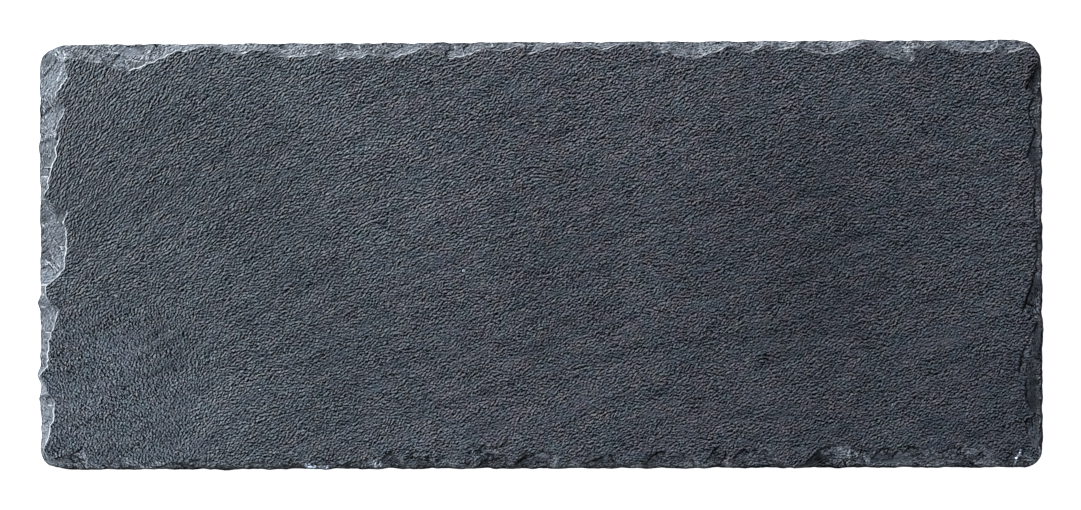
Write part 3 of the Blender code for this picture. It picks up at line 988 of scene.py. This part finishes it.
def slab_mesh(look):
    """The slab's mesh, with its marks, its map and its sharp edges."""
    net = slab_net(look)
    mesh = bpy.data.meshes.new("slate slab")
    mesh.from_pydata(np.concatenate(net.points).tolist(), [], net.faces)
    mesh.polygons.foreach_set("material_index", net.finishes)
    for name, values in ((WEAR_AND_LIGHT, net.worn), (TONE, net.tones), (ROUGH, net.rough)):
        marks = mesh.attributes.new(name, "FLOAT", "POINT")
        marks.data.foreach_set("value", np.concatenate(values).astype(np.float32))
    lay_out_map(mesh, net)
    mesh.shade_smooth()
    mesh.set_sharp_from_angle(angle=SMOOTH_ANGLE)
    mesh.validate()
    return mesh


# ---------------------------------------------------------------------------------------------------
# Shader nodes
# ---------------------------------------------------------------------------------------------------


def put(tree, socket, value):
    """Sets a socket to a value, or links it to the socket that the value comes from."""
    if isinstance(value, bpy.types.NodeSocket):
        tree.links.new(value, socket)
    else:
        socket.default_value = value


def add_node(tree, kind, inputs=None, **settings):
    node = tree.nodes.new("ShaderNode" + kind)
    for name, value in settings.items():
        setattr(node, name, value)
    for name, value in (inputs or {}).items():
        put(tree, node.inputs[name], value)
    return node


def maths(tree, operation, *values):
    """The outcome of one operation on numbers."""
    return add_node(tree, "Math", dict(enumerate(values)), operation=operation).outputs[0]


def vectors(tree, operation, *values):
    """The outcome of one operation on vectors, itself a vector or, for some, a number."""
    outputs = add_node(tree, "VectorMath", dict(enumerate(values)), operation=operation).outputs
    return outputs["Value" if operation in MEASURES else "Vector"]


def scaled(tree, vector, amount):
    inputs = {"Vector": vector, "Scale": amount}
    return add_node(tree, "VectorMath", inputs, operation="SCALE").outputs[0]


def axes_of(tree, vector):
    """The three parts of a vector."""
    return add_node(tree, "SeparateXYZ", {0: vector}).outputs[:3]


def vector_of(tree, *parts):
    return add_node(tree, "CombineXYZ", dict(enumerate(parts))).outputs[0]


def centred(tree, value, gain=1.0):
    """A value from 0 to 1 brought to lie round 0."""
    return maths(tree, "MULTIPLY_ADD", value, gain, -0.5 * gain)


def blended(tree, share, first, second):
    """Two colours mixed by a share from 0 to 1."""
    return add_node(tree, "Mix", {0: share, 6: first, 7: second}, data_type="RGBA").outputs[2]


def ramped(tree, value, low, high, out_low=0.0, out_high=1.0, ends="SMOOTHSTEP"):
    """A value brought from one range to another, with soft ends or straight to them."""
    inputs = {"Value": value, "From Min": low, "From Max": high, "To Min": out_low, "To Max": out_high}
    return add_node(tree, "MapRange", inputs, interpolation_type=ends).outputs["Result"]


def noise_node(tree, vector, scale, detail, roughness=0.5):
    inputs = {"Vector": vector, "Scale": scale, "Detail": detail, "Roughness": roughness}
    return add_node(tree, "TexNoise", inputs).outputs


def noise_at(tree, vector, size, detail, roughness=0.5):
    """Noise from 0 to 1 with lumps of one size, in metres."""
    return noise_node(tree, vector, 1 / size, detail, roughness)["Fac"]


def held(tree, name):
    """A mark held with the points of the slab."""
    return add_node(tree, "Attribute", attribute_name=name).outputs["Fac"]


def new_group(name, inputs, outputs):
    """A shader node group with its named sockets, and the sockets inside it."""
    tree = bpy.data.node_groups.new(name, "ShaderNodeTree")
    for label, kind, *default in inputs:
        socket = tree.interface.new_socket(label, in_out="INPUT", socket_type="NodeSocket" + kind)
        if default:
            socket.default_value = default[0]
    for label, kind in outputs:
        tree.interface.new_socket(label, in_out="OUTPUT", socket_type="NodeSocket" + kind)
    return tree, tree.nodes.new("NodeGroupInput").outputs, tree.nodes.new("NodeGroupOutput").inputs


def place_group(tree, group, inputs):
    return add_node(tree, "Group", inputs, node_tree=group).outputs


def fading(tree, x, length):
    """1 at the left end, falling off to the right over a length."""
    return maths(tree, "EXPONENT", maths(tree, "DIVIDE", maths(tree, "ADD", x, FAN_START), -length))


def flow_group():
    """How the streaks of the riven face run, as a position along them and across them."""
    tree, given, made = new_group("Streak flow", (("Position", "Vector"),), (("Flow", "Vector"),))
    x, y, z = axes_of(tree, given["Position"])
    level = maths(tree, "MULTIPLY", x, maths(tree, "MULTIPLY_ADD", x, STREAK_BEND, STREAK_SLOPE))
    fan = fading(tree, x, STREAK_FAN_LENGTH)
    lift = ramped(tree, y, *STREAK_FAN_HEIGHTS, 0.0, STREAK_FAN, "LINEAR")
    across = maths(tree, "MULTIPLY_ADD", fan, lift, maths(tree, "SUBTRACT", y, level))
    put(tree, made["Flow"], vector_of(tree, x, across, z))
    return tree


def stretched_noise(tree, flow, stretch, size, detail):
    """Noise drawn out along the streaks, from 0 to 1."""
    return noise_at(tree, vectors(tree, "MULTIPLY", flow, stretch), size, detail, STREAK_ROUGHNESS)


def grain_group(flow_tree):
    """Short fine ripples of the riven face, which fan out near the left end."""
    tree, given, made = new_group(
        "Riven grain",
        (
            ("Position", "Vector"),
            ("Spacing", "Float", 1.0 * MM),
            ("Wander", "Float", 0.5),
            ("Grit", "Float", 0.3),
            ("Order", "Float", 0.6),
        ),
        (("Height", "Float"), ("Lit Side", "Float"), ("Grit Height", "Float"), ("Streaks", "Float")),
    )
    position, spacing, share = given["Position"], given["Spacing"], given["Grit"]
    x, y, _ = axes_of(tree, position)

    # The way the ripples run.
    behind = ramped(tree, y, *FAN_HEIGHTS)
    fan = maths(tree, "MULTIPLY", fading(tree, x, FAN_LENGTH), behind)
    corner = maths(tree, "MULTIPLY", ramped(tree, x, *TANGLE_X), ramped(tree, y, *TANGLE_Y))
    slant = maths(tree, "MULTIPLY_ADD", x, GRAIN_TURN, GRAIN_SLANT)
    slant = maths(tree, "MULTIPLY_ADD", fan, FAN_SLANT, slant)
    to_tangle = maths(tree, "SUBTRACT", TANGLE_SLANT, slant)
    slant = maths(tree, "MULTIPLY_ADD", to_tangle, corner, slant)
    wander = centred(tree, noise_at(tree, position, WANDER_SIZE, 0.0))
    slant = maths(tree, "MULTIPLY_ADD", wander, given["Wander"], slant)

    # How far the grit pushes them about, and how much they run one way.
    drawn = maths(tree, "MULTIPLY", fading(tree, x, DRAWN_LENGTH), behind)
    grit = noise_node(tree, position, maths(tree, "DIVIDE", GRIT_SHARE, spacing), 1.0)
    push = maths(tree, "MULTIPLY_ADD", drawn, -DRAWN_CALM * GRAIN_SHAKE, GRAIN_SHAKE)
    shaken = vectors(tree, "SUBTRACT", grit["Color"], HALVES)
    shaken = scaled(tree, shaken, maths(tree, "MULTIPLY", spacing, push))
    order = maths(tree, "MULTIPLY_ADD", drawn, DRAWN_ORDER, 1.0)
    order = maths(tree, "MULTIPLY_ADD", corner, TANGLE_ORDER, order)
    ripples = add_node(
        tree,
        "TexGabor",
        {
            "Vector": vectors(tree, "ADD", shaken, position),
            "Scale": maths(tree, "DIVIDE", 1 / GRAIN_CELL, spacing),
            "Frequency": GRAIN_CELL,
            "Anisotropy": maths(tree, "MULTIPLY", order, given["Order"]),
            "Orientation": maths(tree, "ADD", slant, pi / 2),
        },
    ).outputs

    # How strong they are.
    flow = place_group(tree, flow_tree, {"Position": position})["Flow"]
    calm = stretched_noise(tree, flow, CALM_STRETCH, CALM_WIDTH, 1.0)
    calm = maths(tree, "MULTIPLY_ADD", calm, CALM_SPREAD, 1 - CALM_SPREAD / 2)
    strength = ramped(tree, y, *EVEN_HEIGHTS, *EVEN_STRENGTHS, "LINEAR")
    strength = maths(tree, "MULTIPLY", strength, calm)
    tangled = maths(tree, "MULTIPLY_ADD", corner, TANGLE_STRENGTH, 1.0)
    strength = maths(tree, "MULTIPLY", strength, tangled)

    # One side of each ripple, the side that faces the key light, for painted light in the materials.
    turn = maths(tree, "MULTIPLY", ripples["Phase"], 2 * pi)
    lit_side = maths(tree, "MULTIPLY", maths(tree, "COSINE", turn), ripples["Intensity"])
    rippled = maths(tree, "MULTIPLY", ripples["Value"], maths(tree, "SUBTRACT", 1.0, share))
    height = maths(tree, "MULTIPLY_ADD", grit["Fac"], share, rippled)
    height = maths(tree, "MULTIPLY_ADD", centred(tree, height), strength, 0.5)
    put(tree, made["Height"], height)
    put(tree, made["Lit Side"], maths(tree, "MULTIPLY", lit_side, strength))
    put(tree, made["Grit Height"], grit["Fac"])
    put(tree, made["Streaks"], stretched_noise(tree, flow, STREAK_STRETCH, STREAK_WIDTH, 3.0))
    return tree


def clouds_group():
    """Broad light and dark clouds and a faint turn of hue, as a brightness round 1 and a tint."""
    tree, given, made = new_group(
        "Slate clouds",
        (
            ("Position", "Vector"),
            ("Cloud Strength", "Float", CLOUD_STRENGTH),
            ("Hue Share", "Float", 1.0),
        ),
        (("Brightness", "Float"), ("Tint", "Color")),
    )
    position = given["Position"]
    cloud = centred(tree, noise_at(tree, position, CLOUD_SIZE, 3.0, CLOUD_ROUGHNESS))
    put(tree, made["Brightness"], maths(tree, "MULTIPLY_ADD", cloud, given["Cloud Strength"], 1.0))

    to_right = ramped(tree, axes_of(tree, position)[0], *HUE_DRIFT)
    drift = blended(tree, to_right, LEFT_TINT, RIGHT_TINT)
    lumps = noise_node(tree, position, 1 / HUE_LUMPS, 0.0)["Color"]
    lumps = vectors(tree, "MULTIPLY", vectors(tree, "SUBTRACT", lumps, HALVES), HUE_SPREAD)
    lumps = scaled(tree, lumps, maths(tree, "MULTIPLY_ADD", to_right, *HUE_SHARES))
    tint = vectors(tree, "ADD", lumps, drift)
    put(tree, made["Tint"], blended(tree, given["Hue Share"], WHITE, tint))
    return tree


def stone_group():
    """The colour of the stone, from how far a place stands out of the hollows: painted shade in the
    hollows and painted light on what stands out.
    """
    tree, given, made = new_group(
        "Stone colour",
        (
            ("Rise", "Float", 0.0),
            ("Brightness", "Float", 1.0),
            ("Colour", "Color"),
            ("Tint", "Color"),
        ),
        (("Colour", "Color"),),
    )
    above, below = (maths(tree, "MULTIPLY", given["Rise"], gain) for gain in (RISE_GAIN, FALL_GAIN))
    rise = maths(tree, "MINIMUM", above, below)
    levelled = maths(tree, "MULTIPLY_ADD", maths(tree, "MULTIPLY", rise, rise), RISE_SOFTNESS, 1.0)
    rise = maths(tree, "DIVIDE", rise, maths(tree, "SQRT", levelled))
    rise = maths(tree, "MAXIMUM", maths(tree, "ADD", rise, 1.0), DARKEST)
    shade = vector_of(tree, *(maths(tree, "POWER", rise, power) for power in SHADE_POWERS))
    colour = vectors(tree, "MULTIPLY", vectors(tree, "MULTIPLY", shade, given["Colour"]), given["Tint"])
    put(tree, made["Colour"], scaled(tree, colour, given["Brightness"]))
    return tree


def spot_distance(tree, position, given):
    """How far a place is from the middle of a spot."""
    return vectors(tree, "DISTANCE", position, given["Middle"])


def line_distance(tree, position, given):
    """How far a place is from the nearest point of a line."""
    offset = vectors(tree, "SUBTRACT", position, given["Start"])
    along = vectors(tree, "SUBTRACT", given["End"], given["Start"])
    reached = vectors(tree, "DOT_PRODUCT", offset, along)
    share = maths(tree, "DIVIDE", reached, vectors(tree, "DOT_PRODUCT", along, along))
    share = add_node(tree, "Clamp", {"Value": share}).outputs[0]
    return vectors(tree, "DISTANCE", offset, scaled(tree, along, share))


def mark_group(name, ends, distance):
    """Changes the tone on a small mark of the face, which has its own ends and measure of distance."""
    tree, given, made = new_group(
        name,
        (
            ("Position", "Vector"),
            ("Tone", "Float", 1.0),
            *((end, "Vector") for end in ends),
            ("Half Width", "Float", 0.3 * MM),
            ("Change", "Float", 1.0),
        ),
        (("Tone", "Float"),),
    )
    flat = vectors(tree, "MULTIPLY", given["Position"], (1.0, 1.0, 0.0))
    away = maths(tree, "DIVIDE", distance(tree, flat, given), given["Half Width"])
    change = maths(tree, "MULTIPLY_ADD", ramped(tree, away, *MARK_EDGE), given["Change"], 1.0)
    put(tree, made["Tone"], maths(tree, "MULTIPLY", given["Tone"], change))
    return tree


def flecks_group():
    """Sparse flecks of mica, as a mask for painted glints."""
    tree, given, made = new_group(
        "Mica flecks",
        (("Position", "Vector"), ("Spacing", "Float", 6.0 * MM), ("Size", "Float", 0.25 * MM)),
        (("Mask", "Float"),),
    )
    scale = maths(tree, "DIVIDE", 1.0, given["Spacing"])
    cells = add_node(tree, "TexVoronoi", {"Vector": given["Position"], "Scale": scale}).outputs
    radius = maths(tree, "MULTIPLY", given["Size"], scale)
    near = maths(tree, "LESS_THAN", cells["Distance"], radius)
    chosen = maths(tree, "GREATER_THAN", axes_of(tree, cells["Color"])[0], FLECK_GAPS)
    put(tree, made["Mask"], maths(tree, "MULTIPLY", near, chosen))
    return tree


def stone_groups():
    """The node groups of the slab's two materials, by name."""
    return {
        "grain": grain_group(flow_group()),
        "clouds": clouds_group(),
        "flecks": flecks_group(),
        "stone": stone_group(),
        "spot": mark_group("Spot", ("Middle",), spot_distance),
        "line": mark_group("Fine line", ("Start", "End"), line_distance),
    }


def new_material(name):
    material = bpy.data.materials.new(name)
    material.use_nodes = True
    tree = material.node_tree
    return material, tree, tree.nodes["Principled BSDF"]


def opaque(colour):
    return (*colour, 1.0)


def on_face(x, y):
    """A place given in millimetres, on the plane that the marks of the face are measured in."""
    return (x * MM, y * MM, 0.0)


def marked_tone(tree, position, groups):
    """The tone held with the points, with the small spots and fine lines on it."""
    marks = [("spot", spot, {"Middle": on_face(spot.x, spot.y)}) for spot in SPOTS]
    for line in LINES:
        ends = {"Start": on_face(line.x_from, line.y_from), "End": on_face(line.x_to, line.y_to)}
        marks.append(("line", line, ends))
    tone = held(tree, TONE)
    for group, mark, ends in marks:
        values = {"Half Width": mark.half_width * MM, "Change": mark.change, **ends}
        tone = place_group(tree, groups[group], {"Position": position, "Tone": tone, **values})["Tone"]
    return tone


def finish_stone(tree, shader, colour, height, depth):
    """Gives stone its colour, its fine relief and its lack of shine."""
    put(tree, shader.inputs["Base Color"], colour)
    bump = add_node(tree, "Bump", {"Height": height, "Distance": depth})
    put(tree, shader.inputs["Normal"], bump.outputs[0])
    shader.inputs["Specular IOR Level"].default_value = STONE_SPECULAR


def riven_slate(look, groups):
    """The split faces: dark blue-grey, finely rippled."""
    material, tree, shader = new_material("riven slate")
    position = add_node(tree, "TexCoord").outputs["Object"]
    ripples = {"Spacing": look.grain_spacing, "Grit": look.grain_grit, "Order": look.grain_order}
    grain = place_group(tree, groups["grain"], {"Position": position, **ripples})
    clouds = place_group(tree, groups["clouds"], {"Position": position})
    flecks = place_group(tree, groups["flecks"], {"Position": position})
    # Painted shade in the hollows of the ripples and painted light on their sides facing the key light,
    # with paler streaks.
    rise = centred(tree, grain["Height"], look.grain_shade)
    rise = maths(tree, "MULTIPLY_ADD", grain["Lit Side"], look.lit_side_shade, rise)
    rise = maths(tree, "MULTIPLY_ADD", centred(tree, grain["Streaks"]), look.streak_shade, rise)
    tone = maths(tree, "MULTIPLY", marked_tone(tree, position, groups), clouds["Brightness"])
    stone = {
        "Rise": rise,
        "Brightness": tone,
        "Colour": opaque(look.slate_colour),
        "Tint": clouds["Tint"],
    }
    colour = place_group(tree, groups["stone"], stone)["Colour"]
    glint = maths(tree, "MULTIPLY", flecks["Mask"], GLINT_STRENGTH)
    colour = blended(tree, glint, colour, GLINT_COLOUR)
    dullest = look.slate_roughness + GRIT_SHEEN / 2
    dullness = maths(tree, "MULTIPLY_ADD", grain["Grit Height"], -GRIT_SHEEN, dullest)
    put(tree, shader.inputs["Roughness"], dullness)
    finish_stone(tree, shader, colour, grain["Height"], look.grain_depth)
    return material


def broken_slate(look, groups):
    """The chips and the wall: a paler fresh break, with pale ridges that are partly wear and partly
    painted highlight, painted light on rims facing the key light, and painted shade in the grooves, at
    the foot and on rims facing away.
    """
    material, tree, shader = new_material("broken slate")
    position = add_node(tree, "TexCoord").outputs["Object"]
    ripples = {"Wander": BREAK_WANDER, "Grit": BREAK_GRIT, "Order": BREAK_ORDER}
    grain = place_group(
        tree, groups["grain"], {"Position": position, "Spacing": look.break_spacing, **ripples}
    )
    clouds = place_group(tree, groups["clouds"], {"Position": position, "Hue Share": BREAK_TINT})
    rough, worn = held(tree, ROUGH), held(tree, WEAR_AND_LIGHT)

    # Crumbs in layers, with the ripples over them where the stone isn't upright.
    lying = ramped(tree, axes_of(tree, add_node(tree, "NewGeometry").outputs["Normal"])[2], *UPRIGHT)
    layered = vectors(tree, "MULTIPLY", position, LAYER_STRETCH)
    crumbs = noise_at(tree, layered, CRUMB_SIZE, 2.0, CRUMB_ROUGHNESS)
    height = maths(tree, "MULTIPLY_ADD", centred(tree, grain["Height"]), lying, 0.5)
    height = maths(tree, "MULTIPLY", height, 1 - CRUMB_SHARE)
    height = maths(tree, "MULTIPLY_ADD", crumbs, CRUMB_SHARE, height)
    lit_side = maths(tree, "MULTIPLY", grain["Lit Side"], lying)
    # Painted shade in the hollows and painted light on the grains' sides facing the key light.
    rise = centred(tree, height, look.break_shade)
    rise = maths(tree, "MULTIPLY_ADD", lit_side, look.break_lit_side, rise)

    # Pale ridges and rims, partly wear and partly painted light, and painted shade in the grooves, at
    # the foot and on rims facing away.
    broken_up = centred(tree, noise_at(tree, position, MARK_LUMP_SIZE, 1.0))
    mark = maths(tree, "MULTIPLY_ADD", broken_up, MARK_LUMP_CHANGE, worn)
    wear_and_highlight = ramped(tree, mark, *WEAR_AND_HIGHLIGHT_RANGE)
    groove_shade = ramped(tree, mark, *GROOVE_RANGE, 0.0, GROOVE_SHADE)
    tone = maths(tree, "MULTIPLY", held(tree, TONE), clouds["Brightness"])
    stone = {
        "Rise": maths(tree, "MULTIPLY", rise, rough),
        "Brightness": maths(tree, "MULTIPLY", tone, maths(tree, "SUBTRACT", 1.0, groove_shade)),
        "Colour": blended(tree, rough, opaque(look.break_colour), opaque(look.rough_colour)),
        "Tint": clouds["Tint"],
    }
    colour = place_group(tree, groups["stone"], stone)["Colour"]
    colour = blended(tree, wear_and_highlight, colour, opaque(look.wear_and_highlight_colour))
    shader.inputs["Roughness"].default_value = look.break_roughness
    finish_stone(tree, shader, colour, height, look.break_depth)
    return material


def pale_floor(stage):
    material, tree, shader = new_material("pale floor")
    shader.inputs["Base Color"].default_value = opaque(stage.floor_colour)
    shader.inputs["Roughness"].default_value = 1.0
    shader.inputs["Specular IOR Level"].default_value = 0.0
    shader.inputs["Emission Color"].default_value = WHITE
    shader.inputs["Emission Strength"].default_value = stage.floor_glow
    return material


# ---------------------------------------------------------------------------------------------------
# Settings, operators and panel
# ---------------------------------------------------------------------------------------------------


def setting(kind, name, description, default, **rest):
    return kind(name=name, description=description, default=default, min=0.0, **rest)


def length_property(*words):
    return setting(FloatProperty, *words, precision=5, subtype="DISTANCE", unit="LENGTH")


def colour_property(*words):
    return setting(FloatVectorProperty, *words, max=1.0, size=3, subtype="COLOR")


def factor_property(*words, highest=1.0):
    return setting(FloatProperty, *words, max=highest, subtype="FACTOR")


class SlabLook(bpy.types.PropertyGroup):
    """Sizes and colours of the slab."""

    facet_height: length_property("Facet height", "Height of the flat scars in the chips", 0.5 * MM)
    ledge_height: length_property("Ledge height", "Height of the ledges in the chips", 0.4 * MM)
    chip_grain: length_property("Chip grain", "Height of the rough grain of the chips", 0.12 * MM)
    grain_spacing: length_property("Ripple spacing", "From one ripple of a face to the next", 0.82 * MM)
    grain_depth: length_property("Ripple depth", "Depth of the ripples of the face", 1.6 * MM)
    grain_grit: factor_property("Grit", "Share of fine grit among the ripples", 0.2)
    grain_order: factor_property("Ripple order", "How much the ripples run one way", 0.55)
    streak_shade: factor_property("Streak shade", "How pale the long streaks are", 0.9, highest=9.0)
    # Ripple shade and bare sides paint shade into the ripples' hollows and light onto their sides
    # facing the key light.
    grain_shade: factor_property("Ripple shade", "How much paler the ripples are", 3.0, highest=9.0)
    lit_side_shade: factor_property("Bare sides", "How pale one side of the ripples is", 3.1, highest=9.0)
    slate_colour: colour_property("Slate", "Colour of the riven faces", (0.1, 0.115, 0.142))
    slate_roughness: factor_property("Slate roughness", "Roughness of the riven faces", 0.6)
    break_colour: colour_property("Fresh break", "Colour of the smoothest chips", (0.184, 0.209, 0.246))
    rough_colour: colour_property("Rough break", "Colour of the roughest chips", (0.19, 0.211, 0.243))
    # Break shade and bare grains do the same for the chips, as painted shade and painted light.
    break_shade: factor_property("Break shade", "How uneven the chips' colour is", 4.6, highest=9.0)
    break_lit_side: factor_property("Bare grains", "How pale one side of the grains is", 1.7, highest=9.0)
    break_spacing: length_property("Break spacing", "From one grain of the chips to the next", 0.8 * MM)
    break_depth: length_property("Break depth", "Depth of the fine relief of the chips", 0.55 * MM)
    break_roughness: factor_property("Break roughness", "Roughness of the chips and the wall", 0.55)
    # The pale ridges are partly wear and partly painted highlight; on the rims this colour is painted
    # light.
    wear_and_highlight_colour: colour_property("Worn ridge", "Colour of the sharp ridges", (0.68, 0.72, 0.77))


class StageLook(bpy.types.PropertyGroup):
    """Floor and light."""

    floor_colour: colour_property("Floor", "Colour of the floor", (0.85, 0.85, 0.85))
    floor_glow: factor_property("Floor glow", "Light that the floor gives off", 0.95, highest=5.0)
    key_power: setting(FloatProperty, "Key light", "Power of the main light", 2.36, unit="POWER")
    key_size: length_property("Key size", "Size of the main light", 0.16)
    fill_strength: factor_property("Fill", "Strength of the light from all round", 0.27, highest=5.0)


def added(context, name, data, place=(0.0, 0.0, 0.0)):
    """A new object in the scene."""
    item = bpy.data.objects.new(name, data)
    item.location = place
    context.scene.collection.objects.link(item)
    return item


class SLATE_OT_make_slab(bpy.types.Operator):
    """Make the slate slab in place of its plain solid"""

    bl_idname = "slate.make_slab"
    bl_label = "Make slab"

    def execute(self, context):
        look = context.scene.slab_look
        groups = stone_groups()
        slab = added(context, "slab", slab_mesh(look))
        slab.data.materials.append(riven_slate(look, groups))
        slab.data.materials.append(broken_slate(look, groups))
        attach(slab, "root")
        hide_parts("slate_slab")
        return {"FINISHED"}


class SLATE_OT_make_stage(bpy.types.Operator):
    """Make the floor, the lights and the camera"""

    bl_idname = "slate.make_stage"
    bl_label = "Make stage"

    def execute(self, context):
        stage = context.scene.stage_look
        self.make_floor(context, stage)
        self.make_lights(context, stage)
        self.make_camera(context)
        return {"FINISHED"}

    def make_floor(self, context, stage):
        half = FLOOR_SIZE / 2
        corners = [(-half, -half, 0), (half, -half, 0), (half, half, 0), (-half, half, 0)]
        mesh = bpy.data.meshes.new("floor")
        mesh.from_pydata(corners, [], [(0, 1, 2, 3)])
        mesh.materials.append(pale_floor(stage))
        floor = added(context, "floor", mesh, (0.0, 0.0, -FLOOR_GAP))

    def make_lights(self, context, stage):
        data = bpy.data.lights.new("key light", "AREA")
        data.shape = "DISK"
        data.size = stage.key_size
        data.energy = stage.key_power
        light = added(context, "key light", data, KEY_PLACE)
        aim = Vector(KEY_TARGET) - Vector(KEY_PLACE)
        light.rotation_euler = aim.to_track_quat("-Z", "Y").to_euler()

        world = bpy.data.worlds.new("soft fill")
        world.use_nodes = True
        background = world.node_tree.nodes["Background"]
        background.inputs["Color"].default_value = FILL_COLOUR
        background.inputs["Strength"].default_value = stage.fill_strength
        context.scene.world = world
        context.scene.view_settings.view_transform = "Standard"

    def make_camera(self, context):
        data = bpy.data.cameras.new("camera")
        data.sensor_width = SENSOR_WIDTH
        data.lens = CAMERA_LENS
        data.clip_end = CAMERA_REACH
        height = THICKNESS + VIEW_WIDTH * CAMERA_LENS / SENSOR_WIDTH
        context.scene.camera = added(context, "camera", data, (0.0, 0.0, height))


class SLATE_PT_panel(bpy.types.Panel):
    """Settings and buttons of the slate slab"""

    bl_label = "Slate Slab"
    bl_idname = "SLATE_PT_panel"
    bl_space_type = "VIEW_3D"
    bl_region_type = "UI"
    bl_category = "Slate"

    def draw(self, context):
        scene = context.scene
        for settings, operator in ((scene.slab_look, "make_slab"), (scene.stage_look, "make_stage")):
            box = self.layout.box()
            for name in settings.__annotations__:
                box.prop(settings, name)
            box.operator("slate." + operator)


CLASSES = (SlabLook, StageLook, SLATE_OT_make_slab, SLATE_OT_make_stage, SLATE_PT_panel)


def register():
    for item in CLASSES:
        bpy.utils.register_class(item)
    bpy.types.Scene.slab_look = PointerProperty(type=SlabLook)
    bpy.types.Scene.stage_look = PointerProperty(type=StageLook)


def unregister():
    del bpy.types.Scene.stage_look
    del bpy.types.Scene.slab_look
    for item in reversed(CLASSES):
        bpy.utils.unregister_class(item)


def main():
    register()
    bpy.ops.slate.make_stage()
    bpy.ops.slate.make_slab()


if __name__ == "__main__":
    main()
